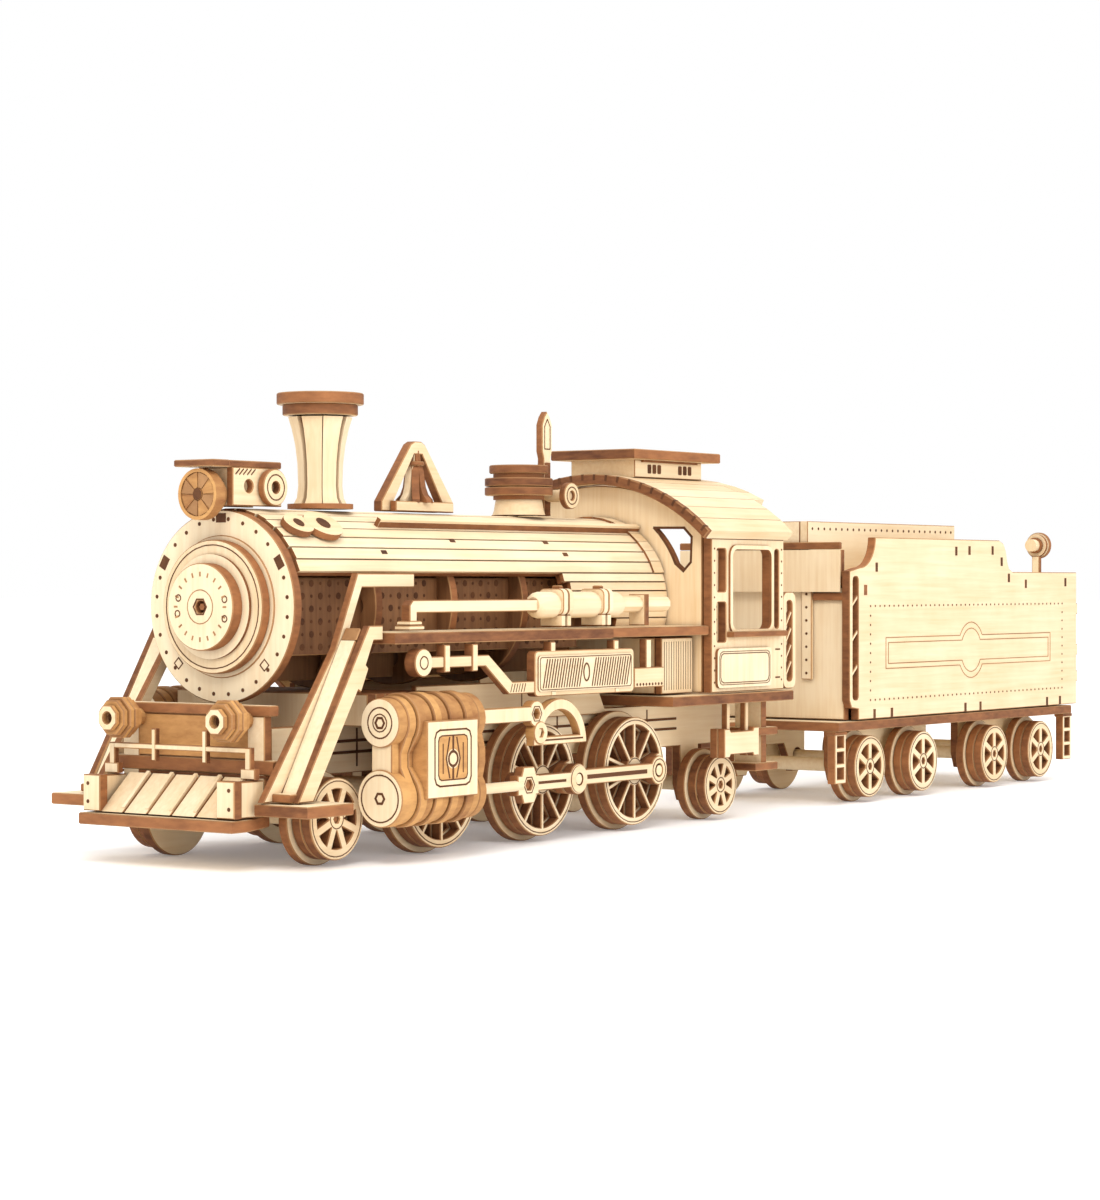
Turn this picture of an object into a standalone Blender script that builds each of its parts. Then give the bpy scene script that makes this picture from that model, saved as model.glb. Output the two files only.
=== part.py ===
"""Plywood kit model of a steam locomotive with its tender, as separate interlocking pieces.

Lengths are in millimetres. "s" is the distance back from the nose, "y" the distance to the right of
the centre plane and "z" the height above the surface the wheels stand on. The nose points to -X.
"""
import math

import bmesh
import bpy
from mathutils import Vector

MM = 0.001
PLY = 2.0                 # sheet thickness
GAP = 0.3                 # clearance between pieces that touch
PLAY = 0.4                # radial clearance of a shaft or pin in its hole
LEFT = -1
RIGHT = 1
SIDES = (("left", LEFT), ("right", RIGHT))

# Wheels and running gear
FLANGE = 1.09             # how far a flange stands out past its tread
TREAD_FACE_Y = 21.2       # outer face of the loco wheels
TREAD_WIDTH = 4.1
DRIVER_R = 10.49
LEADING_R = 7.04
TRAILING_R = 6.11
TENDER_R = 6.8
AXLE_R = 1.5
PIN_R = 1.0
CRANK = 5.0               # crank pin to axle
LEADING_S = 22.3
FIRST_DRIVER_S = 51.2
DRIVER_PITCH = 30.36
TRAILING_GAP = 31.0       # last driving axle to trailing axle
BOGIE_WHEELBASE = 24.1
ROD_STEP = PLY + GAP      # spacing of the rod planes outside the wheels

# Frame
FRAME_Y = 11.6            # inner face of a frame plate
FRAME_Z = (15.0, 23.6)
PEDESTAL = 3.4            # frame material below and beside an axle
FRAME_FRONT_S = 14.2

# Boiler
BOILER_Z = 44.0
BOILER_R = 17.0
SMOKEBOX_S = 16.7
CLADDING_EDGE_Z = 50.0    # lower edge of the long planks
CLADDING_STEP = 34.5      # length of the deep cladding in front of the cab
NOTCH = 20.0              # how far the curved notch runs back over its depth
FORMERS = 6

# Front end
PILOT_HALF_WIDTH = 17.5
DECK_HALF_WIDTH = 29.3
DECK_Z = 9.5
DECK_S = 5.2

# Cylinders
CYLINDER_S = (28.3, 50.0)
VALVE_Z = 24.4
VALVE_R = 5.0
PISTON_BORE_R = 5.2
OUTSIDE_Y = 33.5          # outer face of the cylinder covers
CROSSHEAD_GAP = 13.66     # crosshead pin to the middle driving axle
PISTON_ROD_R = 0.95

# Running boards
BOARD_Z = 37.6
BOARD_Y = 27.3
BOARD_S = 30.4

# Cab
CAB_GAP = 18.1            # last driving axle to cab front
CAB_LENGTH = 27.3
CAB_Y = 27.3
CAB_FLOOR_Z = 24.0
EAVES_Y = 29.0
EAVES_Z = 58.3
CROWN_Z = 70.0

# Tender
DRAW_GAP = 34.5           # cab rear to tender body
PIN_GAP = 14.7            # cab rear to the drawbar pin
TENDER_LENGTH = 108.0
TENDER_Y = 22.9
TENDER_SIDE_Z = 50.6
TENDER_RAISED_Z = 58.0
LADDER_DEPTH = 7.2
BUNKER_Y = 12.0

# Places that follow from the sizes above
DRIVERS_S = [FIRST_DRIVER_S + i * DRIVER_PITCH for i in range(3)]
TRAILING_S = DRIVERS_S[2] + TRAILING_GAP
CAB_S = DRIVERS_S[2] + CAB_GAP
CAB_REAR_S = CAB_S + CAB_LENGTH
PIN_S = CAB_REAR_S + PIN_GAP
TENDER_S = CAB_REAR_S + DRAW_GAP
TENDER_REAR_S = TENDER_S + TENDER_LENGTH
LENGTH = TENDER_REAR_S + LADDER_DEPTH
TENDER_AXLES_S = [TENDER_S + 11.4, TENDER_S + 11.4 + BOGIE_WHEELBASE,
                  TENDER_REAR_S - 13.8 - BOGIE_WHEELBASE, TENDER_REAR_S - 13.8]
DRIVER_Z = DRIVER_R + FLANGE
LEADING_Z = LEADING_R + FLANGE
TRAILING_Z = TRAILING_R + FLANGE
TENDER_Z = TENDER_R + FLANGE
BOILER_TOP_Z = BOILER_Z + BOILER_R
BOILER_END_S = CAB_S - GAP
COUPLING_Y = TREAD_FACE_Y + 0.4
MAIN_ROD_Y = COUPLING_Y + ROD_STEP
CROSSHEAD_Y = MAIN_ROD_Y + ROD_STEP
CROSSHEAD_S = DRIVERS_S[1] - CROSSHEAD_GAP
CYLINDER_Y = CROSSHEAD_Y + PLY / 2 + 0.4
DRAWBAR_S = TRAILING_S + 8
TENDER_FLOOR_Z = 2 * TENDER_Z + GAP
FORMER_R = BOILER_R - PLY - GAP
BOARD_INNER_Y = FORMER_R - GAP
ROOF_R = (EAVES_Y ** 2 + (CROWN_Z - EAVES_Z) ** 2) / (2 * (CROWN_Z - EAVES_Z))
ROOF_CENTRE_Z = CROWN_Z - ROOF_R

PALE = (0.90, 0.76, 0.52)
TAN = (0.78, 0.58, 0.36)
BROWN = (0.42, 0.22, 0.11)


# ---- outlines -------------------------------------------------------------------------------

def arc(centre, radius, start, end, steps):
    """Points on an arc; angles in degrees, both ends included."""
    angles = [math.radians(start + (end - start) * i / steps) for i in range(steps + 1)]
    return [(centre[0] + radius * math.cos(a), centre[1] + radius * math.sin(a)) for a in angles]


def circle(centre, radius, steps=20):
    return arc(centre, radius, 0, 360, steps)[:-1]


def rectangle(a0, a1, b0, b1):
    return [(a0, b0), (a1, b0), (a1, b1), (a0, b1)]


def spoke_openings(centre, hub, rim, count, width):
    """The gaps between the spokes of a wheel."""
    openings = []
    for i in range(count):
        first, last = 360 * i / count, 360 * (i + 1) / count
        inner = math.degrees(math.asin(width / 2 / hub))
        outer = math.degrees(math.asin(width / 2 / rim))
        points = arc(centre, hub, first + inner, last - inner, 1)
        points += arc(centre, rim, last - outer, first + outer, 1)
        openings.append(points)
    return openings


# ---- solids ---------------------------------------------------------------------------------

def to_world(s, y, z):
    return Vector(((s - LENGTH / 2) * MM, y * MM, z * MM))


def solid(points, faces):
    """A closed mesh object from points (s, y, z) and faces."""
    work = bmesh.new()
    verts = [work.verts.new(to_world(*point)) for point in points]
    for face in faces:
        work.faces.new([verts[i] for i in face])
    bmesh.ops.recalc_face_normals(work, faces=work.faces)
    mesh = bpy.data.meshes.new("solid")
    work.to_mesh(mesh)
    work.free()
    obj = bpy.data.objects.new("solid", mesh)
    bpy.context.scene.collection.objects.link(obj)
    return obj


def triangles_inside(loops):
    """Index triples that fill the first loop around the others."""
    work = bmesh.new()
    edges = []
    for loop in loops:
        verts = [work.verts.new((a, b, 0)) for a, b in loop]
        edges += [work.edges.new((verts[i - 1], verts[i])) for i in range(len(verts))]
    work.verts.index_update()
    filled = bmesh.ops.triangle_fill(work, edges=edges, use_beauty=True, normal=(0, 0, 1))
    triples = [tuple(v.index for v in f.verts) for f in filled["geom"] if isinstance(f, bmesh.types.BMFace)]
    work.free()
    return triples


def plate(normal, outline, low, high, holes=(), side=RIGHT):
    """A flat sheet piece. Its outline is (y, z), (s, z) or (s, y) for the normals x, y and z."""
    loops = [outline, *holes]
    flat = [point for loop in loops for point in loop]
    place = {"x": lambda p, d: (d, side * p[0], p[1]),
             "y": lambda p, d: (p[0], side * d, p[1]),
             "z": lambda p, d: (p[0], side * p[1], d)}[normal]
    points = [place(p, low) for p in flat] + [place(p, high) for p in flat]
    count = len(flat)
    triangles = triangles_inside(loops)
    faces = triangles + [tuple(count + i for i in triple) for triple in triangles]
    first = 0
    for loop in loops:
        for i in range(len(loop)):
            a, b = first + i, first + (i + 1) % len(loop)
            faces.append((a, b, b + count, a + count))
        first += len(loop)
    return solid(points, faces)


def box(s0, s1, y0, y1, z0, z1, side=RIGHT):
    return plate("z", rectangle(s0, s1, y0, y1), z0, z1, side=side)


def turned(normal, centre, profile, steps=20, side=RIGHT):
    """A turned piece: centre is in the plane across the axis, profile is (offset, radius)."""
    place = {"x": lambda p, d: (d, side * p[0], p[1]),
             "y": lambda p, d: (p[0], side * d, p[1]),
             "z": lambda p, d: (p[0], side * p[1], d)}[normal]
    points = []
    faces = []
    for offset, radius in profile:
        points += [place(p, offset) for p in circle(centre, radius, steps)]
    for ring in range(len(profile) - 1):
        for i in range(steps):
            a, b = ring * steps + i, ring * steps + (i + 1) % steps
            faces.append((a, b, b + steps, a + steps))
    faces.append(tuple(range(steps)))
    faces.append(tuple(range((len(profile) - 1) * steps, len(profile) * steps)))
    return solid(points, faces)


def remove(obj):
    mesh = obj.data
    bpy.data.objects.remove(obj)
    bpy.data.meshes.remove(mesh)


def fuse(shells, cuts=()):
    """One closed body from overlapping shells, less the cuts."""
    body = shells[0]
    for operation, tools in (("UNION", shells[1:]), ("DIFFERENCE", cuts)):
        for tool in tools:
            modifier = body.modifiers.new(operation, "BOOLEAN")
            modifier.operation = operation
            modifier.solver = "EXACT"
            modifier.object = tool
    depsgraph = bpy.context.evaluated_depsgraph_get()
    mesh = bpy.data.meshes.new_from_object(body.evaluated_get(depsgraph))
    for obj in (*shells, *cuts):
        remove(obj)
    fused = bpy.data.objects.new("solid", mesh)
    bpy.context.scene.collection.objects.link(fused)
    return fused


def wood(name, colour, roughness=0.62):
    """A plywood finish of the piece's own."""
    material = bpy.data.materials.new(name + "_wood")
    material.use_nodes = True
    shader = material.node_tree.nodes["Principled BSDF"]
    shader.inputs["Base Color"].default_value = (*colour, 1.0)
    shader.inputs["Roughness"].default_value = roughness
    shader.inputs["Metallic"].default_value = 0.0
    return material


def finish(name, obj, colour, pivot=None):
    """Name a piece, give it its finish, and put its origin on its joint."""
    obj.name = name
    obj.data.name = name
    obj.data.materials.clear()
    obj.data.materials.append(wood(name, colour))
    obj.data.shade_smooth()
    obj.data.set_sharp_from_angle(angle=math.radians(30))
    if pivot:
        origin = to_world(*pivot)
        for vertex in obj.data.vertices:
            vertex.co -= origin
        obj.location = origin


# ---- wheels and rods ------------------------------------------------------------------------

def wheel(s, z, radius, face_y, spokes, side, steps):
    """A spoked wheel: its tread disc with the wider flange disc behind it, as one stepped solid."""
    hub = 0.24 * radius + 0.6
    width = 0.9 if spokes > 8 else 1.2
    openings = spoke_openings((s, z), hub, radius - 1.7, spokes, width)
    back = face_y - TREAD_WIDTH - PLY
    rims = ((back, radius + FLANGE), (back + PLY, radius + FLANGE), (back + PLY, radius), (face_y, radius))
    points = []
    faces = []
    for y, rim in rims:
        points += [(a, side * y, b) for a, b in circle((s, z), rim, steps)]
    for ring in range(3):
        for i in range(steps):
            a, b = ring * steps + i, ring * steps + (i + 1) % steps
            faces.append((a, b, b + steps, a + steps))
    first = len(points)
    flat = [point for opening in openings for point in opening]
    for y in (back, face_y):
        points += [(a, side * y, b) for a, b in flat]
    for rim, start in ((0, first), (3 * steps, first + len(flat))):
        loops = [circle((s, z), rims[3 if rim else 0][1], steps), *openings]
        index = [*range(rim, rim + steps), *range(start, start + len(flat))]
        faces += [tuple(index[i] for i in triple) for triple in triangles_inside(loops)]
    for opening in openings:
        count = len(opening)
        for i in range(count):
            a, b = first + i, first + (i + 1) % count
            faces.append((a, b, b + len(flat), a + len(flat)))
        first += count
    return solid(points, faces)


def wheelset(name, s, z, radius, face_y, spokes, pin_y=0):
    """Two wheels on their axle, with crank pins where pin_y says how far out they reach."""
    steps = 20 if radius > 8 else 16
    shells = [turned("y", (s, z), [(-face_y + 0.2, AXLE_R), (face_y - 0.2, AXLE_R)], 10)]
    for _, side in SIDES:
        shells.append(wheel(s, z, radius, face_y, spokes, side, steps))
        if pin_y:
            crank_pin = (s + CRANK, z)
            shells.append(turned("y", crank_pin, [(face_y - 2, 2.0), (face_y + 0.1, 2.0)], 8, side))
            shells.append(turned("y", crank_pin, [(face_y - 1, PIN_R), (pin_y, PIN_R)], 10, side))
    finish(name, fuse(shells), TAN, pivot=(s, 0, z))


def rod(name, side, y, ends, eye, half_height, bored, pivot):
    """A flat rod with a round eye at each end; bored lists the ends that a pin passes through."""
    (s0, z0), (s1, _) = ends
    shells = [box(s0, s1, y, y + PLY, z0 - half_height, z0 + half_height, side)]
    shells += [turned("y", end, [(y, eye), (y + PLY, eye)], 16, side) for end in ends]
    cuts = [turned("y", ends[i], [(y - 1, PIN_R + PLAY), (y + PLY + 1, PIN_R + PLAY)], 12, side)
            for i in bored]
    finish(name, fuse(shells, cuts), PALE, pivot=pivot)


def running_gear():
    wheelset("leading_wheelset", LEADING_S, LEADING_Z, LEADING_R, TREAD_FACE_Y, 8)
    reach = (0, MAIN_ROD_Y + PLY, COUPLING_Y + PLY)
    for i in range(3):
        wheelset(f"driver_wheelset_{i + 1}", DRIVERS_S[i], DRIVER_Z, DRIVER_R, TREAD_FACE_Y, 10,
                 pin_y=reach[i])
    wheelset("trailing_wheelset", TRAILING_S, TRAILING_Z, TRAILING_R, TREAD_FACE_Y, 8)
    pin_2 = (DRIVERS_S[1] + CRANK, DRIVER_Z)
    pin_3 = (DRIVERS_S[2] + CRANK, DRIVER_Z)
    for label, side in SIDES:
        pivot = (pin_2[0], side * COUPLING_Y, pin_2[1])
        rod(f"coupling_rod_{label}", side, COUPLING_Y, [pin_2, pin_3], 2.9, 1.5, (0, 1), pivot)
        rod(f"main_rod_{label}", side, MAIN_ROD_Y, [(CROSSHEAD_S, DRIVER_Z), pin_2], 2.9, 1.5,
            (0, 1), pivot)
        crosshead(label, side)


def crosshead(label, side):
    """Cross-shaped crosshead on its piston rod; it slides into the cylinder."""
    y = CROSSHEAD_Y
    s = CROSSHEAD_S
    z = DRIVER_Z
    shells = [box(s - 3.4, s + 3.0, y, y + PLY, z - 1.8, z + 1.8, side),
              box(s - 1.6, s + 1.6, y, y + PLY, z - 3.3, z + 3.3, side),
              turned("x", (CYLINDER_Y, z), [(CYLINDER_S[1] - PLY, PISTON_ROD_R), (s - 1, PISTON_ROD_R)],
                     10, side)]
    cuts = [plate("y", circle((s, z), 1.0, 6), y - 1, y + PLY + 1, side=side)]
    finish(f"crosshead_{label}", fuse(shells, cuts), PALE, pivot=(s, side * CYLINDER_Y, z))


# ---- frame and front end --------------------------------------------------------------------

def frame_outline(axles, front, rear):
    """A frame plate's outline with a pedestal down to each axle."""
    bottom, top = FRAME_Z
    points = [(rear, bottom), (rear, top), (front, top), (front, bottom)]
    for s, z in axles:
        points += [(s - PEDESTAL, bottom), (s - PEDESTAL, z), (s - 2, z - PEDESTAL)]
        points += [(s + 2, z - PEDESTAL), (s + PEDESTAL, z), (s + PEDESTAL, bottom)]
    return points


def frames():
    axles = [(LEADING_S, LEADING_Z)]
    axles += [(s, DRIVER_Z) for s in DRIVERS_S]
    axles += [(TRAILING_S, TRAILING_Z)]
    outline = frame_outline(axles, FRAME_FRONT_S, CAB_REAR_S)
    holes = [circle(axle, AXLE_R + PLAY, 12) for axle in axles]
    for label, side in SIDES:
        sheet = plate("y", outline, FRAME_Y, FRAME_Y + PLY, holes, side)
        finish(f"frame_{label}", sheet, PALE)
    inner = FRAME_Y - GAP
    stretcher_z = DRIVER_Z + AXLE_R + 3
    finish("frame_stretcher", box(FRAME_FRONT_S, DRAWBAR_S - GAP, -inner, inner, stretcher_z,
                                  stretcher_z + PLY), TAN)
    saddle_z = stretcher_z + PLY + GAP
    arm_z = max(2 * DRIVER_Z, FRAME_Z[1]) + GAP
    top = BOILER_Z - FORMER_R - GAP
    arm_y = CYLINDER_Y - PISTON_BORE_R - GAP
    shells = [box(CYLINDER_S[0] + 1, CYLINDER_S[1] - 1, -inner, inner, saddle_z, top),
              box(CYLINDER_S[0] + 1, CYLINDER_S[1] - 1, -arm_y, arm_y, arm_z, top)]
    finish("cylinder_saddle", fuse(shells), TAN)
    drawbar(stretcher_z)


def drawbar(below):
    """Tapered bar under the cab, with the upright pin that the tender swings on."""
    top = min(TENDER_FLOOR_Z, below) - GAP
    inner = FRAME_Y - GAP
    outline = [(DRAWBAR_S, -inner), (CAB_REAR_S - 2, -inner), (PIN_S, -3), (PIN_S + 4, 0),
               (PIN_S, 3), (CAB_REAR_S - 2, inner), (DRAWBAR_S, inner)]
    pin_top = TENDER_FLOOR_Z + PLY + 1
    shells = [plate("z", outline, top - PLY, top),
              turned("z", (PIN_S, 0), [(top - 1, AXLE_R), (pin_top, AXLE_R)], 12)]
    finish("drawbar", fuse(shells), BROWN)


def front_end():
    wheel_front = LEADING_S - LEADING_Z - GAP
    half = PILOT_HALF_WIDTH
    finish("pilot_plate", plate("z", [(0, -half), (0, half), (4, half), (wheel_front, half - 4),
                                      (wheel_front, 4 - half), (4, -half)],
                                DECK_Z - PLY - 0.6, DECK_Z - 0.6), BROWN)
    notch = half + GAP
    wide = DECK_HALF_WIDTH
    clear = TREAD_FACE_Y + 0.5
    deck = [(DECK_S, -wide), (DECK_S, -notch), (9.3, -notch), (9.3, notch), (DECK_S, notch),
            (DECK_S, wide), (17, wide), (17, clear), (wheel_front, clear), (wheel_front, -clear),
            (17, -clear), (17, -wide)]
    finish("front_deck", plate("z", deck, DECK_Z, DECK_Z + PLY), BROWN)
    cowcatcher()
    buffer_beam()
    for label, side in SIDES:
        front_brace(label, side)


def cowcatcher():
    """Sloping slats between two side boxes, with the handrail standing on the boxes."""
    base = DECK_Z - GAP
    half = PILOT_HALF_WIDTH
    slope = [(1.2, base), (8.0, base + 6.6), (8.6, base + 6.6), (8.6, base)]
    shells = [plate("y", slope, -half + 3, half - 3)]
    for _, side in SIDES:
        shells.append(box(0.8, 8.6, half - 3.6, half - 0.2, base, base + 6.2, side))
        shells.append(box(6.0, 7.2, half - 2.6, half - 1.4, base + 5, 20.6, side))
        shells.append(box(6.0, 7.2, 5.2, 6.4, 17.8, 23.4, side))
    shells.append(box(6.0, 7.2, -half + 1.4, half - 1.4, 19.6, 20.8))
    finish("cowcatcher", fuse(shells), PALE)


def buffer_beam():
    """Two cross beams on posts, with the two faceted knobs on the upper one."""
    base = DECK_Z + PLY + GAP
    half = PILOT_HALF_WIDTH
    shells = [box(9.3, 11.6, -half - 0.8, half + 0.8, 15.4, 18.4),
              box(9.3, 11.6, -half, half, 25.8, 27.6)]
    for _, side in SIDES:
        shells.append(box(9.5, 11.4, 12.4, 16.2, base, 26.5, side))
        knob = [(1.4, 2.0), (2.6, 3.2), (4.8, 3.7), (7.0, 3.2), (8.2, 2.0), (10, 1.4)]
        shells.append(turned("x", (12.3, 25.1), knob, 8, side))
    finish("buffer_beam", fuse(shells), TAN)


def front_brace(label, side):
    """Two slanted bars from the deck up to the running board and the smokebox, on one foot."""
    base = DECK_Z + PLY + GAP
    board_end = BOARD_S - GAP
    inner_y = 18.6
    outer_y = 23.0
    inner = [(4.9, base), (8.5, base), (25.4, 36.4), (30.4, 47.3), (44.8, 47.3), (44.8, 49.7),
             (29.2, 49.7), (23.4, 37.0)]
    outer = [(8.0, base), (11.8, base), (board_end, 38.3), (board_end, 40.8), (26.4, 40.8)]
    shells = [plate("y", inner, inner_y, inner_y + PLY, side=side),
              plate("y", outer, outer_y, outer_y + PLY, side=side),
              box(7.0, 9.2, inner_y + 0.5, outer_y + 1, base, base + 1.6, side)]
    finish(f"front_brace_{label}", fuse(shells), PALE)


# ---- boiler and its fittings ----------------------------------------------------------------

def boiler():
    start = SMOKEBOX_S + PLY + GAP
    ring = plate("x", circle((0, BOILER_Z), BOILER_R - 0.35, 32), SMOKEBOX_S, SMOKEBOX_S + PLY,
                 [circle((0, BOILER_Z), BOILER_R - 6, 16)])
    finish("smokebox_ring", ring, PALE)
    door_back = SMOKEBOX_S - GAP
    door = [turned("x", (0, BOILER_Z), [(door_back - PLY, 11.5), (door_back, 11.5)], 32),
            turned("x", (0, BOILER_Z), [(door_back - 5.0, 7.5), (door_back - 1, 7.5)], 28)]
    hub = [turned("x", (0, BOILER_Z), [(door_back - 6, 1.1), (door_back - 2, 1.1)], 12)]
    finish("smokebox_door", fuse(door, hub), PALE)
    cladding(start)
    spine = box(start, BOILER_END_S, -1, 1, BOILER_Z - FORMER_R + 1, BOILER_Z + FORMER_R - 1)
    below = box(DRIVERS_S[2] + 6.0, BOILER_END_S + 1, -BOARD_Y, BOARD_Y, 0, BOARD_Z)
    shells = [spine]
    pitch = (BOILER_END_S - start - PLY) / (FORMERS - 1)
    for i in range(FORMERS):
        s = start + i * pitch
        shells.append(turned("x", (0, BOILER_Z), [(s, FORMER_R), (s + PLY, FORMER_R)], 18))
    finish("boiler_formers", fuse(shells, [below]), BROWN)


def cladding(start):
    """Curved skin of planks: down to the plank edge along the boiler, full depth before the cab."""
    low = BOARD_Z + PLY + 2 * GAP
    edge = math.degrees(math.asin((CLADDING_EDGE_Z - BOILER_Z) / BOILER_R))
    deep = math.degrees(math.asin((low - BOILER_Z) / (BOILER_R - PLY)))
    step_s = BOILER_END_S - CLADDING_STEP
    columns = []
    for i in range(6):
        rise = i / 5
        columns.append((deep + (edge - deep) * rise, step_s + NOTCH * (1 - rise) ** 1.6))
    columns += [(edge + 0.5 + (89.5 - edge) * i / 12, start) for i in range(13)]
    columns += [(180 - angle, s0) for angle, s0 in reversed(columns[:-1])]
    points = []
    faces = []
    for angle, s0 in columns:
        for radius in (BOILER_R, BOILER_R - PLY):
            (y, z), = arc((0, BOILER_Z), radius, angle, angle, 1)[:1]
            points += [(s0, y, z), (BOILER_END_S, y, z)]
    for i in range(len(columns) - 1):
        a, b = 4 * i, 4 * (i + 1)
        faces += [(a, a + 1, b + 1, b), (a + 1, a + 3, b + 3, b + 1),
                  (a + 3, a + 2, b + 2, b + 3), (a + 2, a, b, b + 2)]
    last = len(points) - 4
    faces += [(0, 2, 3, 1), (last, last + 1, last + 3, last + 2)]
    finish("boiler_cladding", solid(points, faces), PALE)


def boiler_fittings():
    top = BOILER_TOP_Z + GAP
    headlamp(top)
    chimney(top)
    bell(top)
    dome = [(top, 5.0), (65.2, 4.6), (65.3, 6.65), (68.6, 6.65), (68.7, 5.2), (69.5, 5.2),
            (69.6, 5.8), (71.0, 5.8)]
    dome_s = BOILER_END_S - 26.9
    finish("steam_dome", turned("z", (dome_s, 0), shifted(dome, top), 24), TAN)
    safety_valve(top, dome_s + 8.4)


def shifted(profile, top, drawn_for=61.3):
    """A profile drawn on a boiler of the first size, moved to the boiler's top."""
    return [(offset + top - drawn_for if i else top, radius) for i, (offset, radius) in enumerate(profile)]


def headlamp(top):
    lamp_z = top + 1.9
    back = SMOKEBOX_S - 1.7
    profile = [(back - 4.3, 4.4), (back - 2.2, 4.4), (back, 3.0)]
    finish("headlamp", turned("x", (0, lamp_z), profile, 16), BROWN)
    roof_z = lamp_z + 4.4 + GAP
    shells = [box(back - 5.2, back + 14, -4.6, 4.6, roof_z, roof_z + 1.2),
              box(back + GAP, back + 13, -4.0, -2.5, top, roof_z + 0.5),
              box(back + GAP, back + 13, 2.5, 4.0, top, roof_z + 0.5),
              box(back + GAP, back + 2, -4.0, 4.0, top, roof_z + 0.5),
              turned("y", (back + 10, top + 3.3), [(-5.6, 3.2), (5.6, 3.2)], 16)]
    finish("headlamp_bracket", fuse(shells), PALE)


def chimney(top):
    s = SMOKEBOX_S + 26.3
    column = [(top, 5.2), (62.6, 4.3), (64.5, 4.0), (70.0, 4.4), (74.0, 4.9), (77.7, 5.6)]
    column = shifted(column, top)
    finish("chimney", turned("z", (s, 0), column, 8), PALE)
    seat = column[-1][0] + GAP
    shells = [plate("z", circle((s, 0), 6.7, 28), seat, seat + PLY, [circle((s, 0), 3.4, 16)]),
              plate("z", circle((s, 0), 7.8, 28), seat + PLY - 0.2, seat + 2 * PLY,
                    [circle((s, 0), 3.4, 16)])]
    finish("chimney_cap", fuse(shells), BROWN)


def bell(top):
    """A-shaped yoke along the boiler with the cross-lapped bell hanging in it."""
    s = SMOKEBOX_S + 53.4
    outline = [(s - 10.9, top), (s + 10.7, top), (s + 10.7, top + 1.8), (s + 2.0, top + 13.1),
               (s - 2.0, top + 13.1), (s - 10.9, top + 1.8)]
    opening = [(s - 7.6, top + 1.6), (s + 7.4, top + 1.6), (s + 1.4, top + 10.8), (s - 1.4, top + 10.8)]
    profile = [(3.4, 3.2), (4.2, 2.9), (5.4, 2.0), (8.2, 1.5), (9.4, 0.8), (12.0, 0.8)]
    fin = [(width, top + height) for height, width in profile]
    fin += [(-width, z) for width, z in reversed(fin)]
    across = plate("x", fin, s - 0.8, s + 0.8)
    along = plate("y", [(s + width, z) for width, z in fin], -0.8, 0.8)
    yoke = plate("y", outline, -1, 1, [opening])
    finish("bell_and_yoke", fuse([yoke, across, along]), TAN)


def safety_valve(top, s):
    """Pointed valve blade on a stem, with a whistle disc on each side."""
    blade = [(-0.9, top), (0.9, top), (0.9, top + 11.5), (1.65, top + 12.7), (1.65, top + 18.0),
             (0, top + 20.6), (-1.65, top + 18.0), (-1.65, top + 12.7), (-0.9, top + 11.5)]
    whistle_z = top + 3.9
    shells = [plate("y", [(s + a, z) for a, z in blade], -0.9, 0.9),
              turned("y", (s, whistle_z), [(-6.8, 1.2), (6.8, 1.2)], 10),
              turned("y", (s, whistle_z), [(-6.8, 2.6), (-5.4, 2.6)], 16),
              turned("y", (s, whistle_z), [(5.4, 2.6), (6.8, 2.6)], 16)]
    finish("safety_valve", fuse(shells), BROWN)


# ---- sides of the locomotive ----------------------------------------------------------------

def side_gear(label, side):
    board = plate("z", rectangle(BOARD_S, BOILER_END_S, BOARD_INNER_Y, BOARD_Y), BOARD_Z,
                  BOARD_Z + PLY, side=side)
    finish(f"running_board_{label}", board, BROWN)
    air_tank(label, side)
    cooler(label, side)
    cylinder(label, side)


def air_tank(label, side):
    """Pipe and air tank on two straps above the running board."""
    base = BOARD_Z + PLY + GAP
    y = BOARD_Y - 3.3
    z = base + 4.1
    end = BOILER_END_S - 27.7
    tank = [(end - 27.3, 1.6), (end - 26.3, 2.45), (end - 1, 2.45), (end, 1.6)]
    shells = [turned("x", (y, z), tank, 12, side),
              turned("x", (y, z), [(BOARD_S + 7.6, 1.1), (end - 25, 1.1)], 8, side),
              turned("x", (y, z), [(end - 1, 1.5), (end + 16, 1.5)], 8, side),
              box(BOARD_S + 7.0, BOARD_S + 9.2, y - 1.1, y + 1.1, base, z + 1.1, side)]
    for s in (end - 20, end - 7):
        shells.append(box(s, s + 1.8, y - 2.9, y + 2.9, base, z + 3.0, side))
    finish(f"air_tank_{label}", fuse(shells), PALE)


def cooler(label, side):
    """Cooler plate and its cranked pipe under the running board."""
    top = BOARD_Z - GAP
    y = BOARD_Y - 1.8
    end = BOILER_END_S - 27.2
    panel = [(end - 31.9, top - 2.0), (end - 31.9, top - 9.9), (end, top - 9.9), (end, top - 2.0)]
    z = top - 3.0
    front = BOARD_S + 7.5
    pipe = [(front, z + 1), (front, z - 1), (front + 18.5, z - 1), (front + 25.5, z - 6.4),
            (end - 30, z - 6.4), (end - 30, z - 4.2), (front + 26.2, z - 4.2), (front + 19.3, z + 1)]
    shells = [plate("y", panel, y, y + PLY, [circle((end - 16, top - 6), 0.9, 10)], side),
              plate("y", pipe, y, y + PLY, side=side),
              turned("y", (front, z), [(y - 0.4, 2.5), (y + PLY + 0.3, 2.5)], 16, side),
              box(end - 1, end + 10.5, y, y + PLY, top - 9.2, top - 5.4, side)]
    for s in (front + 6, front + 14, end - 26, end - 6):
        shells.append(box(s, s + 1.6, y + 0.2, y + PLY - 0.2, z - 1.6, top, side))
    finish(f"cooler_{label}", fuse(shells), PALE)


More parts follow.
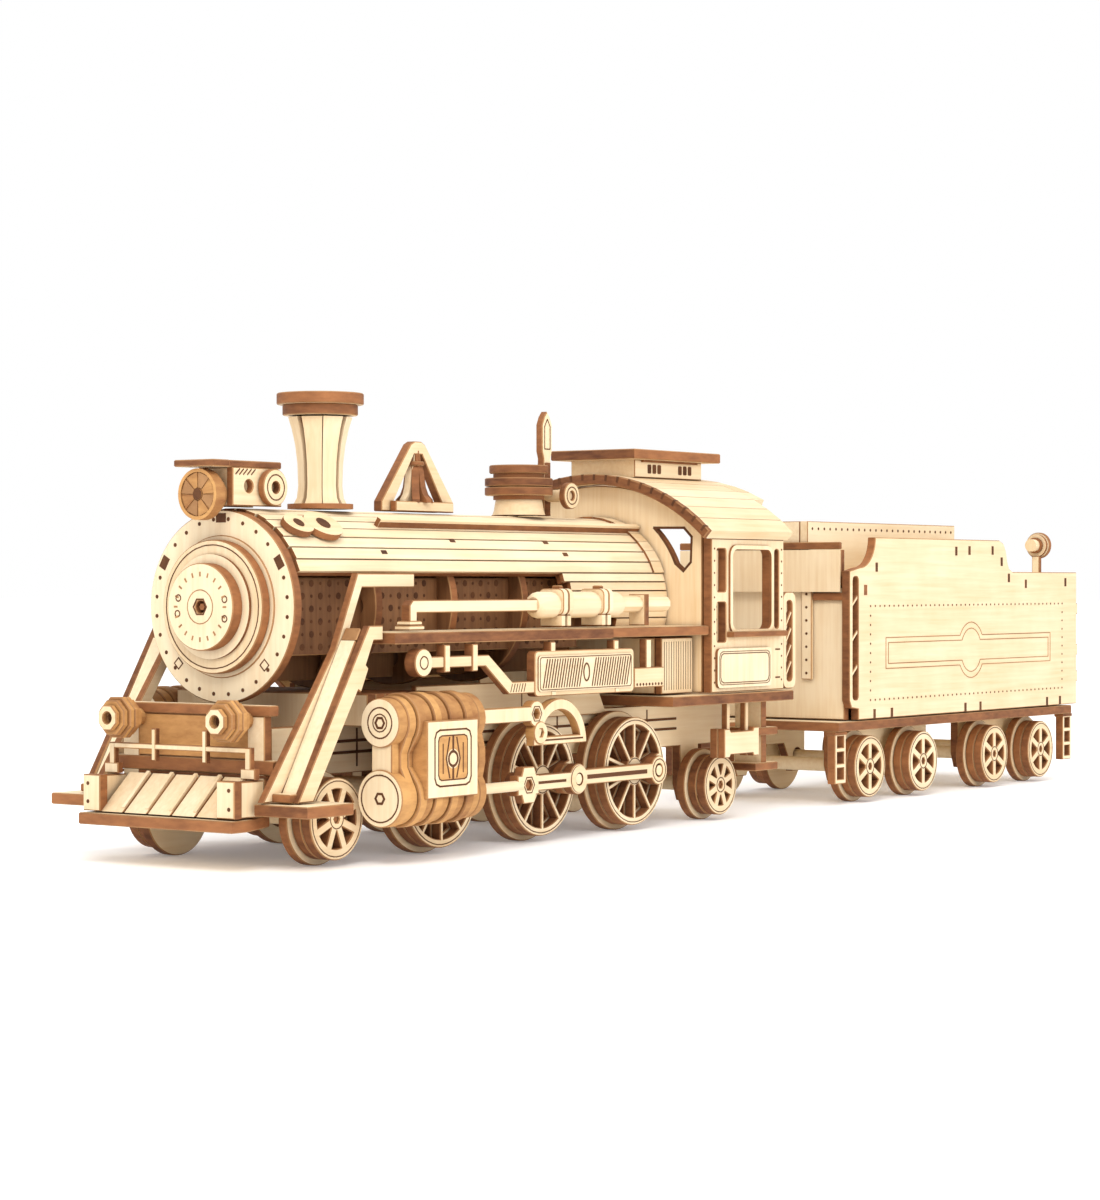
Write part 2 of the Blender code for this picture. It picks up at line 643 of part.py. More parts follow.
def cylinder_outline():
    """Two stacked barrels with a waist between them, seen along the locomotive."""
    points = arc((CYLINDER_Y, VALVE_Z), VALVE_R, -55, 235, 10)
    points += arc((CYLINDER_Y, DRIVER_Z), PISTON_BORE_R, 125, 415, 10)
    return points


def cylinder(label, side):
    """Stack of barrel plates with front caps, a cover on the outside and the fixed valve gear."""
    s0, s1 = CYLINDER_S
    mid = (VALVE_Z + DRIVER_Z) / 2
    cover_y = CYLINDER_Y + PISTON_BORE_R - 1.5
    gear_y = CROSSHEAD_Y + 0.2
    shells = [plate("x", cylinder_outline(), s0, s1, side=side),
              box(s0 + 3.2, s1 - 4.4, cover_y, OUTSIDE_Y, mid - 6.6, mid + 6.6, side),
              turned("x", (CYLINDER_Y, VALVE_Z), [(s0 - 2.4, 4.2), (s0 + 1, 4.2)], 18, side),
              turned("x", (CYLINDER_Y, DRIVER_Z), [(s0 - 2.4, 4.9), (s0 + 1, 4.9)], 18, side),
              box(s0 - 2.0, s0 + 1, CYLINDER_Y - 2.2, CYLINDER_Y + 2.2, mid - 4, mid + 4, side),
              box(s1 - 1, CROSSHEAD_S + 2, gear_y, gear_y + PLY, VALVE_Z - 1.4, VALVE_Z + 1.4, side),
              turned("y", (CROSSHEAD_S + 2, VALVE_Z), [(gear_y, 2.5), (gear_y + PLY, 2.5)], 14, side),
              valve_link(gear_y, side)]
    bore = turned("x", (CYLINDER_Y, DRIVER_Z),
                  [(s1 - 2 * CRANK - 2 * PLY, PISTON_ROD_R + PLAY), (s1 + 1, PISTON_ROD_R + PLAY)],
                  12, side)
    eye = plate("y", circle((CROSSHEAD_S + 2, VALVE_Z), 1.0, 6), gear_y - 1, gear_y + PLY + 1, side=side)
    finish(f"cylinder_{label}", fuse(shells, [bore, eye]), TAN)


def valve_link(y, side):
    """Bow-shaped link hanging over the middle driving wheel."""
    centre = (DRIVERS_S[1] - 4.2, VALVE_Z - 5.8)
    outline = arc(centre, 8.4, 0, 180, 10)
    opening = arc(centre, 6.2, 10, 170, 8)
    bar = plate("y", outline, y, y + PLY, [opening], side)
    return bar


def firebox():
    top = BOARD_Z - GAP
    start = DRIVERS_S[2] + 6.5
    half = BOARD_Y - 4.2
    base = CAB_FLOOR_Z + PLY + GAP
    finish("firebox", box(start, BOILER_END_S, -half, half, base, top), PALE)


# ---- cab ------------------------------------------------------------------------------------

def cab():
    floor_top = CAB_FLOOR_Z + PLY + GAP
    inner = CAB_Y - PLY - GAP
    under = ROOF_R - PLY - GAP
    top_angle = math.degrees(math.acos(inner / under))
    crown = arc((0, ROOF_CENTRE_Z), under, top_angle, 180 - top_angle, 14)
    windows = []
    for side in (LEFT, RIGHT):
        rim = arc((0, BOILER_Z), BOILER_R + 3.3, 17, 48, 5)
        corners = [*rim, (20.8, 59.0), (22.6, 57.2), (22.6, 47.6)]
        windows.append([(side * y, z) for y, z in corners])
    wall = plate("x", [(-inner, floor_top), (inner, floor_top), *crown], CAB_S, CAB_S + PLY, windows)
    finish("cab_front", wall, PALE)
    for label, side in SIDES:
        cab_side(label, side, floor_top)
    cab_floor()
    cab_roof()


def cab_side(label, side, base):
    """Side panel with its windows and the grab loop behind it."""
    top = ROOF_CENTRE_Z + math.sqrt((ROOF_R - PLY) ** 2 - CAB_Y ** 2) - GAP
    s0, s1 = CAB_S, CAB_REAR_S
    outline = [(s0, base), (s1 + 4.2, base), (s1 + 5.3, base + 1.2), (s1 + 5.3, 44.8),
               (s1 + 4.2, 46.2), (s1, 46.2), (s1, top), (s0, top)]
    holes = [rectangle(s0 + 1.9, s0 + 5.3, 46.3, top - 2.0),
             rectangle(s0 + 1.9, s0 + 5.3, 36.3, 44.2),
             rectangle(s0 + 7.1, s1 - 5.4, 38.7, top - 2.0),
             rectangle(s1 - 3.6, s1 - 1.9, base + 2, top - 2.0),
             rectangle(s1 + 0.4, s1 + 3.6, base + 2.5, 44.4)]
    sheet = plate("y", outline, CAB_Y - PLY, CAB_Y, holes, side)
    sill = box(s0 + 5.6, s1 - 1.2, CAB_Y - 1, CAB_Y + 1.7, 37.2, 38.4, side)
    finish(f"cab_side_{label}", fuse([sheet, sill]), PALE)


def cab_floor():
    """Floor plate with the steps and the injectors hanging from it."""
    half = BOARD_Y + 0.7
    start = DRIVERS_S[2] + 3.2
    z = CAB_FLOOR_Z
    shells = [box(start, CAB_REAR_S + 2.7, -half, half, z, z + PLY)]
    wheel_end = TRAILING_S + TRAILING_Z + GAP
    for _, side in SIDES:
        shells.append(box(wheel_end + 4.4, wheel_end + 6.4, 17, 23.5, 9.6, z + 0.5, side))
        for step_z in (9.6, 16.8):
            shells.append(box(wheel_end + 1, wheel_end + 9.6, 16.6, 24.2, step_z, step_z + 1.6, side))
        y = TREAD_FACE_Y + 1.2
        shells.append(box(TRAILING_S - 6, TRAILING_S + 7, y, y + 3.6, 13, 18.8, side))
        for s in (TRAILING_S - 3.6, TRAILING_S + 3.4):
            shells.append(box(s, s + 1.3, y + 1.2, y + 2.5, 18, z + 0.5, side))
    finish("cab_floor", fuse(shells), BROWN)


def cab_roof():
    centre = (0, ROOF_CENTRE_Z)
    angle = math.degrees(math.acos(EAVES_Y / ROOF_R))
    outline = arc(centre, ROOF_R, angle, 180 - angle, 18)
    outline += arc(centre, ROOF_R - PLY, 180 - angle, angle, 18)
    finish("cab_roof", plate("x", outline, CAB_S - 3.7, CAB_REAR_S + 1.1), PALE)
    base = CROWN_Z + GAP
    shells = [box(CAB_S + 1.5, CAB_REAR_S - 1, -8, 8, base, base + 2.9),
              box(CAB_S - 2.2, CAB_REAR_S + 2.4, -10.3, 10.3, base + 2.7, base + 4.7)]
    finish("roof_lantern", fuse(shells), BROWN)


# ---- tender ---------------------------------------------------------------------------------

def tender():
    pivot = (PIN_S, 0, TENDER_FLOOR_Z)
    tender_frame(pivot)
    base = TENDER_FLOOR_Z + PLY + GAP
    deck_z = TENDER_SIDE_Z - PLY - 1.2
    inner = TENDER_Y - PLY - GAP
    for label, side in SIDES:
        tender_side(label, side, base, pivot)
    front = plate("x", [(-inner, base), (inner, base), (inner, deck_z - GAP), (-inner, deck_z - GAP)],
                  TENDER_S + 1.6, TENDER_S + 1.6 + PLY)
    finish("tender_front", front, PALE, pivot)
    tender_rear(base, inner, deck_z, pivot)
    rear = TENDER_REAR_S - 2 * PLY
    finish("tender_deck", box(TENDER_S, rear - GAP, -inner, inner, deck_z, deck_z + PLY), TAN, pivot)
    coal_bunker(deck_z + PLY + GAP, pivot)
    for i, s in enumerate(TENDER_AXLES_S):
        wheelset(f"tender_wheelset_{i + 1}", s, TENDER_Z, TENDER_R, TREAD_FACE_Y + 0.3, 6)


def tender_frame(pivot):
    """Floor with the drawbar tongue, the axle plates of both bogies and the corner steps."""
    z = TENDER_FLOOR_Z
    floor = box(TENDER_S - 4.6, TENDER_REAR_S + 2, -TENDER_Y, TENDER_Y, z, z + PLY)
    shells = [floor, box(PIN_S - 3.4, TENDER_S, -3.4, 3.4, z, z + PLY)]
    for first in (0, 2):
        a, b = TENDER_AXLES_S[first:first + 2]
        outline = [(a - PEDESTAL, z + 0.8), (a - PEDESTAL, TENDER_Z), (a - 2, TENDER_Z - PEDESTAL),
                   (a + 2, TENDER_Z - PEDESTAL), (a + 6, 11), (b - 6, 11),
                   (b - 2, TENDER_Z - PEDESTAL), (b + 2, TENDER_Z - PEDESTAL), (b + PEDESTAL, TENDER_Z),
                   (b + PEDESTAL, z + 0.8)]
        holes = [circle((s, TENDER_Z), AXLE_R + PLAY, 12) for s in (a, b)]
        for _, side in SIDES:
            shells.append(plate("y", outline, FRAME_Y, FRAME_Y + PLY, holes, side))
    steps = [rectangle(0.9, 3.7, low, low + 2.4) for low in (5.8, 9.2, 12.6)]
    for s in (TENDER_S - 4.4, TENDER_REAR_S - 2.8):
        outline = rectangle(s, s + 4.6, 4.8, z + 0.8)
        holes = [[(s + a, b) for a, b in step] for step in steps]
        for _, side in SIDES:
            shells.append(plate("y", outline, TENDER_Y - 3, TENDER_Y - 1, holes, side))
    pin_hole = turned("z", (PIN_S, 0), [(z - 1, AXLE_R + PLAY), (z + PLY + 1, AXLE_R + PLAY)], 12)
    finish("tender_frame", fuse(shells, [pin_hole]), TAN, pivot)


def tender_side(label, side, base, pivot):
    """Side panel with the raised coal rail in its front half."""
    s0, s1 = TENDER_S, TENDER_REAR_S + 2.8
    low, high = TENDER_SIDE_Z, TENDER_RAISED_Z
    rail_end = s0 + 0.647 * TENDER_LENGTH
    outline = [(s0 + 3.9, base), (s1, base), (s1, low), (rail_end + 6.8, low), (rail_end + 5.0, low + 0.8),
               (rail_end + 4.0, low + 2.6), (rail_end + 3.4, high - 2.6), (rail_end + 2.2, high - 0.8),
               (rail_end, high), (s0 + 11.2, high)]
    outline += arc((s0 + 4.6, high), 6.6, 0, -90, 5)[1:]
    outline += [(s0, low), (s0, base + 4.3), (s0 + 0.9, base + 2.7), (s0 + 3.9, base + 2.3)]
    slot = rectangle(s0 + 1.4, s0 + 3.8, base + 4.4, low - 1.2)
    sheet = plate("y", outline, TENDER_Y - PLY, TENDER_Y, [slot], side)
    finish(f"tender_side_{label}", sheet, PALE, pivot)


def tender_rear(base, inner, deck_z, pivot):
    """Rear wall with the ladder behind it and the two lamps on top."""
    s = TENDER_REAR_S - 2 * PLY
    end = TENDER_REAR_S + LADDER_DEPTH
    rungs = [rectangle(-3.6, 3.6, base + 2 + 5.4 * i, base + 5.6 + 5.4 * i) for i in range(5)]
    height = base + 30
    wall = plate("x", rectangle(-inner, inner, base, deck_z + PLY + 1), s, s + PLY)
    ladder = plate("x", rectangle(-5.2, 5.2, base, height), end - PLY, end, rungs)
    shells = [wall, ladder]
    for _, side in SIDES:
        for z in (base + 1, height - 4):
            shells.append(box(s + 1, end - 1, 3.9, 4.9, z, z + 1.6, side))
        shells.append(box(s, s + PLY, 13.8, 16.2, deck_z, 55.5, side))
        shells.append(turned("x", (15, 57.2), [(s - 1.4, 3.2), (s + 3.2, 3.2)], 12, side))
    finish("tender_rear", fuse(shells), PALE, pivot)


def coal_bunker(base, pivot):
    """Open-topped box that holds the coal."""
    s0 = TENDER_S + 0.6
    s1 = s0 + 0.625 * TENDER_LENGTH
    top = TENDER_RAISED_Z + 3.5
    outer = rectangle(s0, s1, -BUNKER_Y, BUNKER_Y)
    well = rectangle(s0 + PLY, s1 - PLY, PLY - BUNKER_Y, BUNKER_Y - PLY)
    walls = plate("z", outer, base, top, [well])
    floor = plate("z", outer, base, base + 1.2)
    finish("coal_bunker", fuse([walls, floor]), PALE, pivot)


def clear_scene():
    for obj in list(bpy.data.objects):
        bpy.data.objects.remove(obj)


def build():
    clear_scene()
    frames()
    front_end()
    boiler()
    boiler_fittings()
    for label, side in SIDES:
        side_gear(label, side)
    firebox()
    running_gear()
    cab()
    tender()


build()
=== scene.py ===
"""Looks of the plywood locomotive kit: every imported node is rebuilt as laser-cut sheets of wood.

Lengths are in millimetres: s back from the nose, y to the right, z up from the table.
"""
import math

import bmesh
import bpy
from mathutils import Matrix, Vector


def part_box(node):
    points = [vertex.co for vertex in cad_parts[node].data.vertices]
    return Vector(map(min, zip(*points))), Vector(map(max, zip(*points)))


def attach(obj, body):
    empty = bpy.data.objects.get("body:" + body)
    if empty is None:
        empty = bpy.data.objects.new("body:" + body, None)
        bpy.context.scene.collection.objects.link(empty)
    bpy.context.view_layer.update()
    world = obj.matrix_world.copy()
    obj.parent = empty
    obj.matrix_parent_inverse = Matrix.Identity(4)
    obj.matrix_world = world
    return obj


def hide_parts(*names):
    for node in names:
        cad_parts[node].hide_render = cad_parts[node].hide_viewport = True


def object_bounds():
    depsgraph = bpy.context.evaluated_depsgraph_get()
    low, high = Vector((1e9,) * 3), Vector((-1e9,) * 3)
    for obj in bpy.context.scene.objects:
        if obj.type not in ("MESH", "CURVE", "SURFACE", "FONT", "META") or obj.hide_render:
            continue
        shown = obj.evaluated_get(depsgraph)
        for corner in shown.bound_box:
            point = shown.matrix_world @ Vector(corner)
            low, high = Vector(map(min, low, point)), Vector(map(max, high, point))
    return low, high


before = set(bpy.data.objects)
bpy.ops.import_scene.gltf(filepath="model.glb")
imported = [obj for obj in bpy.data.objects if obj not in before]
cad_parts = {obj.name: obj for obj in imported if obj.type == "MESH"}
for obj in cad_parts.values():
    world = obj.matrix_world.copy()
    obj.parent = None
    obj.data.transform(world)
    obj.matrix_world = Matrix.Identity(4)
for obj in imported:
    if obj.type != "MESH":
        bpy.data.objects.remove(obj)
cad_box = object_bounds()

MM = 0.001
NOSE = cad_box[0][0] / MM
LEFT, RIGHT = -1, 1
SIDES = (("left", LEFT), ("right", RIGHT))
PLY = 2.0
CHAMFER = 0.18            # scorched corner of a laser cut
FACE, EDGE, SCORCH, DARK = 0, 1, 2, 3
PLY_LOOK = (FACE, EDGE)   # looks of a sheet's two faces and of its cut edge
PLAIN = (FACE, FACE)
BROWN = (EDGE, EDGE)
BLACK = (DARK, DARK)
INK_HEIGHT = 0.06         # how far an engraved line stands on its face
SETTLE = 0.012            # scatter that keeps two sheets out of one plane


class Box:
    """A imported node's box in millimetres."""

    def __init__(self, node):
        low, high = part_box(node)
        self.s0, self.s1 = low[0] / MM - NOSE, high[0] / MM - NOSE
        self.y0, self.y1 = low[1] / MM, high[1] / MM
        self.z0, self.z1 = low[2] / MM, high[2] / MM
        self.s = (self.s0 + self.s1) / 2
        self.y = (self.y0 + self.y1) / 2
        self.z = (self.z0 + self.z1) / 2


# ---- outlines -------------------------------------------------------------------------------

def polar(centre, radius, degrees):
    angle = math.radians(degrees)
    return centre[0] + radius * math.cos(angle), centre[1] + radius * math.sin(angle)


def arc(centre, radius, start, end, steps):
    return [polar(centre, radius, start + (end - start) * i / steps) for i in range(steps + 1)]


def circle(centre, radius, steps=32, turn=0):
    return arc(centre, radius, turn, turn + 360, steps)[:-1]


def shares(start, end, count):
    """Both ends of each equal share of a span."""
    cuts = [start + (end - start) * i / count for i in range(count + 1)]
    return list(zip(cuts, cuts[1:]))


def rectangle(a0, a1, b0, b1):
    return [(a0, b0), (a1, b0), (a1, b1), (a0, b1)]


def mirrored(half, axis=None, level=0):
    """A half outline and its mirror image across a = axis or, with no axis, across b = level."""
    if axis is None:
        return half + [(a, 2 * level - b) for a, b in reversed(half)]
    return half + [(2 * axis - a, b) for a, b in reversed(half) if a != axis]


def rounded(a0, a1, b0, b1, r, steps=4):
    points = arc((a1 - r, b0 + r), r, -90, 0, steps)
    points += arc((a1 - r, b1 - r), r, 0, 90, steps)
    points += arc((a0 + r, b1 - r), r, 90, 180, steps)
    return points + arc((a0 + r, b0 + r), r, 180, 270, steps)


def oriented(loop, inward):
    """The loop turning so that its material lies to the left."""
    area = sum(a[0] * b[1] - b[0] * a[1] for a, b in zip(loop, loop[1:] + loop[:1]))
    return loop if (area > 0) == inward else loop[::-1]


def inset(loop, width):
    """The loop moved to its left by width, mitred at the corners."""
    moved = []
    count = len(loop)
    for i in range(count):
        before, here, after = Vector(loop[i - 1]), Vector(loop[i]), Vector(loop[(i + 1) % count])
        one = (here - before).normalized()
        two = (after - here).normalized()
        left_one = Vector((-one.y, one.x))
        left_two = Vector((-two.y, two.x))
        mean = left_one + left_two
        reach = max(mean.length_squared / 2, 0.5)
        moved.append(tuple(here + mean * width / reach))
    return moved


def triangles_inside(loops):
    """Index triples that fill the first loop around the others."""
    work = bmesh.new()
    edges = []
    for loop in loops:
        verts = [work.verts.new((a, b, 0)) for a, b in loop]
        edges += [work.edges.new((verts[i - 1], verts[i])) for i in range(len(verts))]
    work.verts.index_update()
    filled = bmesh.ops.triangle_fill(work, edges=edges, use_beauty=True, normal=(0, 0, 1))
    triples = [tuple(v.index for v in f.verts) for f in filled["geom"] if isinstance(f, bmesh.types.BMFace)]
    work.free()
    return triples


# ---- wood -----------------------------------------------------------------------------------

def node_of(tree, kind, inputs, **values):
    """A shader node; an input is given a plain value or the output that feeds it."""
    node = tree.nodes.new("ShaderNode" + kind)
    for key, value in values.items():
        setattr(node, key, value)
    for socket, value in inputs.items():
        if isinstance(value, bpy.types.NodeSocket):
            tree.links.new(value, node.inputs[socket])
        else:
            node.inputs[socket].default_value = value
    return node


def wood_material(name, light, dark, grain, roughness=0.6, crevice_shade=0.5, bump=0.12):
    """Wood whose grain runs along the axis where grain is smallest; each sheet has its own tone, and corners
    and crevices are darkened towards brown by ambient occlusion as painted shade.
    """
    material = bpy.data.materials.new(name)
    material.use_nodes = True
    tree = material.node_tree

    def weighed(value, weight, rest):
        inputs = {0: value, 1: weight, 2: rest}
        return node_of(tree, "Math", inputs, operation="MULTIPLY_ADD").outputs[0]

    place = node_of(tree, "TexCoord", {}).outputs["Object"]
    stretched = node_of(tree, "Mapping", {"Vector": place, "Scale": grain}).outputs["Vector"]
    fibres = node_of(tree, "TexNoise", {"Vector": stretched, "Scale": 1.0, "Detail": 4.0,
                                        "Roughness": 0.6}).outputs["Fac"]
    cloud = node_of(tree, "TexNoise", {"Vector": place, "Scale": 110.0, "Detail": 2.0}).outputs["Fac"]
    sheet = node_of(tree, "NewGeometry", {}).outputs["Random Per Island"]
    tone = weighed(fibres, 0.9, weighed(cloud, 0.55, weighed(sheet, 0.42, -0.43)))
    ramp = node_of(tree, "ValToRGB", {"Fac": tone})
    for stop, position, colour in zip(ramp.color_ramp.elements, (0.2, 0.95), (light, dark)):
        stop.position = position
        stop.color = (*colour, 1)
    # Painted shade: ambient occlusion mixes the colour towards dark brown in corners and crevices, by the
    # given amount.
    corner = node_of(tree, "AmbientOcclusion", {"Distance": 1.6 * MM}, samples=6).outputs["AO"]
    fall = node_of(tree, "MapRange", {"Value": corner, "From Min": 0.25, "From Max": 0.85,
                                      "To Min": crevice_shade, "To Max": 0.0})
    crevice_shade_mix = node_of(tree, "Mix", {}, data_type="RGBA")
    relief = node_of(tree, "Bump", {"Height": fibres, "Strength": bump, "Distance": 0.0001})
    shader = tree.nodes["Principled BSDF"]
    shader.inputs["Roughness"].default_value = roughness
    shader.inputs["Specular IOR Level"].default_value = 0.3
    crevice_shade_mix.inputs["B"].default_value = (0.16, 0.062, 0.02, 1)
    for output, socket in ((fall.outputs["Result"], crevice_shade_mix.inputs["Factor"]),
                           (ramp.outputs["Color"], crevice_shade_mix.inputs["A"]),
                           (crevice_shade_mix.outputs["Result"], shader.inputs["Base Color"]),
                           (relief.outputs["Normal"], shader.inputs["Normal"])):
        tree.links.new(output, socket)
    return material


ALONG_X = (45, 1100, 1100)
ALONG_Z = (1100, 1100, 60)
PALE_LIGHT = (0.83, 0.68, 0.46)
PALE_DARK = (0.68, 0.475, 0.255)
FACE_X = wood_material("ply_face_long", PALE_LIGHT, PALE_DARK, ALONG_X)
FACE_Z = wood_material("ply_face_upright", PALE_LIGHT, PALE_DARK, ALONG_Z)
# Painted shade: dark brown faces for the boiler formers and the frame stretcher, which lie in shade inside
# and under the boiler.
PAINTED_SHADE_FACE = wood_material("ply_face_inner", (0.30, 0.14, 0.055), (0.12, 0.048, 0.018), ALONG_Z, crevice_shade=0.85)
CUT = wood_material("ply_laser_cut_edge", (0.33, 0.13, 0.045), (0.085, 0.026, 0.009), (260, 260, 900),
                    roughness=0.7, crevice_shade=0.7)
CUT_LIGHT = wood_material("ply_toasted_edge", (0.60, 0.32, 0.11), (0.24, 0.09, 0.028), (240, 240, 800),
                          roughness=0.7, crevice_shade=0.8)
SEAR = wood_material("ply_seared_corner", (0.42, 0.22, 0.09), (0.20, 0.085, 0.03), (260, 260, 260),
                     roughness=0.7, crevice_shade=0.6)
BURNT = wood_material("scorched_engraving", (0.13, 0.05, 0.018), (0.06, 0.022, 0.009), ALONG_X,
                      roughness=0.85, crevice_shade=0.2)


# ---- pieces ---------------------------------------------------------------------------------

AXES = {"x": lambda p, d, side: (d, side * p[0], p[1]),
        "y": lambda p, d, side: (p[0], side * d, p[1]),
        "z": lambda p, d, side: (p[0], side * p[1], d)}


class Piece:
    """Sheets and turned shapes of one sub-part, gathered in one mesh."""

    sheets = 0

    def __init__(self, name):
        self.name = name
        self.points = []
        self.faces = []
        self.looks = []

    def add(self, points, faces, looks):
        """Adds one sheet, a few microns off its place, so that no two faces lie in one plane."""
        first = len(self.points)
        Piece.sheets += 1
        off = [SETTLE * math.sin(rate * Piece.sheets) for rate in (1.3, 2.1, 2.9)]
        self.points += [(p[0] + off[0], p[1] + off[1], p[2] + off[2]) for p in points]
        self.faces += [tuple(first + i for i in face) for face in faces]
        self.looks += looks

    def plate(self, normal, outline, low, high, holes=(), side=RIGHT, looks=PLY_LOOK, chamfer=CHAMFER):
        """A sheet with scorched corners; the outline is (y, z), (s, z) or (s, y) for x, y and z."""
        place = AXES[normal]
        if high < low:
            low, high = high, low
        if high - low < 4 * chamfer:
            chamfer = 0
        loops = [oriented(outline, True)] + [oriented(list(hole), False) for hole in holes]
        caps = [inset(loop, chamfer) for loop in loops] if chamfer else loops
        flat = [p for loop in loops for p in loop]
        flat_caps = [p for loop in caps for p in loop]
        count = len(flat)
        levels = [(flat_caps, low), (flat, low + chamfer), (flat, high - chamfer), (flat_caps, high)]
        if not chamfer:
            levels = [(flat, low), (flat, high)]
        points = [place(p, d, side) for row, d in levels for p in row]
        top = (len(levels) - 1) * count
        triples = triangles_inside(caps)
        faces = triples + [tuple(top + i for i in triple) for triple in triples]
        shades = [looks[0]] * len(faces)
        first = 0
        for loop in loops:
            for i in range(len(loop)):
                a, b = first + i, first + (i + 1) % len(loop)
                for level in range(len(levels) - 1):
                    low_a, low_b = a + level * count, b + level * count
                    faces.append((low_a, low_b, low_b + count, low_a + count))
                    middle = not chamfer or level == 1
                    shades.append(looks[1] if middle else SCORCH)
            first += len(loop)
        self.add(points, faces, shades)

    def box(self, s0, s1, y0, y1, z0, z1, side=RIGHT, normal="z", looks=PLY_LOOK, chamfer=CHAMFER):
        spans = {"x": ((y0, y1, z0, z1), s0, s1), "y": ((s0, s1, z0, z1), y0, y1),
                 "z": ((s0, s1, y0, y1), z0, z1)}
        edges, low, high = spans[normal]
        self.plate(normal, rectangle(*edges), low, high, side=side, looks=looks, chamfer=chamfer)

    def turned(self, normal, centre, profile, steps=32, side=RIGHT, looks=PLY_LOOK, bore=0, turn=0):
        """A turned shape from (offset, radius) rows, capped or bored."""
        place = AXES[normal]
        rows = list(profile)
        if bore:
            rows = [(rows[0][0], bore)] + rows + [(rows[-1][0], bore)]
        points = [place(p, offset, side) for offset, radius in rows
                  for p in circle(centre, radius, steps, turn)]
        faces = []
        shades = []
        count = len(rows)
        for ring in range(count if bore else count - 1):
            after = (ring + 1) % count
            flat = abs(rows[ring][0] - rows[after][0]) < 0.05
            for i in range(steps):
                j = (i + 1) % steps
                faces.append((ring * steps + i, ring * steps + j, after * steps + j, after * steps + i))
                shades.append(looks[0] if flat else looks[1])
        if not bore:
            faces.append(tuple(range(steps)))
            faces.append(tuple(range((count - 1) * steps, count * steps)))
            shades += [looks[0], looks[0]]
        self.add(points, faces, shades)

    def disc(self, normal, centre, radius, low, high, steps=32, side=RIGHT, holes=(), looks=PLY_LOOK,
             chamfer=CHAMFER):
        self.plate(normal, circle(centre, radius, steps), low, high, holes, side, looks, chamfer)

    def prism(self, rings, looks=PLY_LOOK):
        """Joins rings of equally many points (s, y, z) in order, and closes both ends."""
        count = len(rings[0])
        points = [tuple(p) for ring in rings for p in ring]
        faces = [tuple(range(count)), tuple(range((len(rings) - 1) * count, len(rings) * count))]
        shades = [looks[1], looks[1]]
        for k in range(len(rings) - 1):
            for i in range(count):
                j = (i + 1) % count
                faces.append((k * count + i, k * count + j, (k + 1) * count + j, (k + 1) * count + i))
                shades.append(looks[0])
        self.add(points, faces, shades)

    def bent(self, axis_z, a0, a1, s0, s1, outer, inner, looks=PLY_LOOK, taper=0):
        """A strip bent about a lengthwise axis at height axis_z, between two angles in degrees."""
        corners = ((a0 + taper, outer), (a1 - taper, outer), (a1, inner), (a0, inner))
        section = [polar((0, axis_z), radius, angle) for angle, radius in corners]
        self.prism([[(s, y, z) for y, z in section] for s in (s0, s1)], looks)

    def finish(self, body, slot, nodes=(), face=None, edge=None, smooth=32):
        work = bmesh.new()
        verts = [work.verts.new(((p[0] + NOSE) * MM, p[1] * MM, p[2] * MM)) for p in self.points]
        for face_points, look in zip(self.faces, self.looks):
            try:
                polygon = work.faces.new([verts[i] for i in face_points])
            except ValueError:
                continue
            polygon.material_index = look
        bmesh.ops.recalc_face_normals(work, faces=work.faces)
        mesh = bpy.data.meshes.new(self.name)
        work.to_mesh(mesh)
        work.free()
        obj = bpy.data.objects.new(self.name, mesh)
        bpy.context.scene.collection.objects.link(obj)
        for material in (face or FACE_X, edge or CUT, SEAR, BURNT):
            mesh.materials.append(material)
        mesh.shade_smooth()
        mesh.set_sharp_from_angle(angle=math.radians(smooth))
        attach(obj, body)
        if nodes:
            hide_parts(*nodes)
        return obj


class Ink(Piece):
    """Engraved lines and dots, as thin scorched strips that lie on a face."""

    def line(self, normal, points, level, width=0.35, side=RIGHT, closed=False, out=1, look=DARK):
        path = list(points) + ([points[0]] if closed else [])
        top = level + out * INK_HEIGHT
        for a, b in zip(path, path[1:]):
            along = (Vector(b) - Vector(a)).normalized()
            across = Vector((-along.y, along.x)) * width / 2
            start, end = Vector(a) - along * width / 3, Vector(b) + along * width / 3
            corners = [tuple(start - across), tuple(end - across), tuple(end + across), tuple(start + across)]
            self.plate(normal, corners, level, top, side=side, looks=(look, look), chamfer=0)

    def ring(self, normal, centre, radius, steps, level, width, side=RIGHT, **more):
        self.line(normal, circle(centre, radius, steps), level, width, side, closed=True, **more)

    def dot(self, normal, centre, level, radius=0.35, side=RIGHT, out=1, steps=8):
        self.plate(normal, circle(centre, radius, steps), level, level + out * INK_HEIGHT, side=side,
                   looks=BLACK, chamfer=0)

    def dots(self, normal, a, b, count, level, radius=0.3, side=RIGHT, out=1):
        for i in range(count):
            t = i / (count - 1)
            self.dot(normal, (a[0] + (b[0] - a[0]) * t, a[1] + (b[1] - a[1]) * t), level, radius, side, out,
                     6)


LOCO = "locomotive"
TENDER = "tender"


def sheets(node):
    return Piece(node + "_ply"), Ink(node + "_marks")


def finish_pair(wood, ink, body, slot, face=None, edge=None):
    """Finishes the sheets in place of their node, and the marks that ride on them."""
    wood.finish(body, slot, (wood.name.removesuffix("_ply"),), face, edge)
    if ink.points:
        ink.finish(body, slot)


# ---- wheels and rods ------------------------------------------------------------------------

def spoke_openings(centre, hub, rim, count, width, turn):
    openings = []
    for i in range(count):
        first, last = turn + 360 * i / count, turn + 360 * (i + 1) / count
        inner = math.degrees(math.asin(width / 2 / hub))
        outer = math.degrees(math.asin(width / 2 / rim))
        points = arc(centre, hub, first + inner, last - inner, 3)
        openings.append(points + arc(centre, rim, last - outer, first + outer, 5))
    return openings


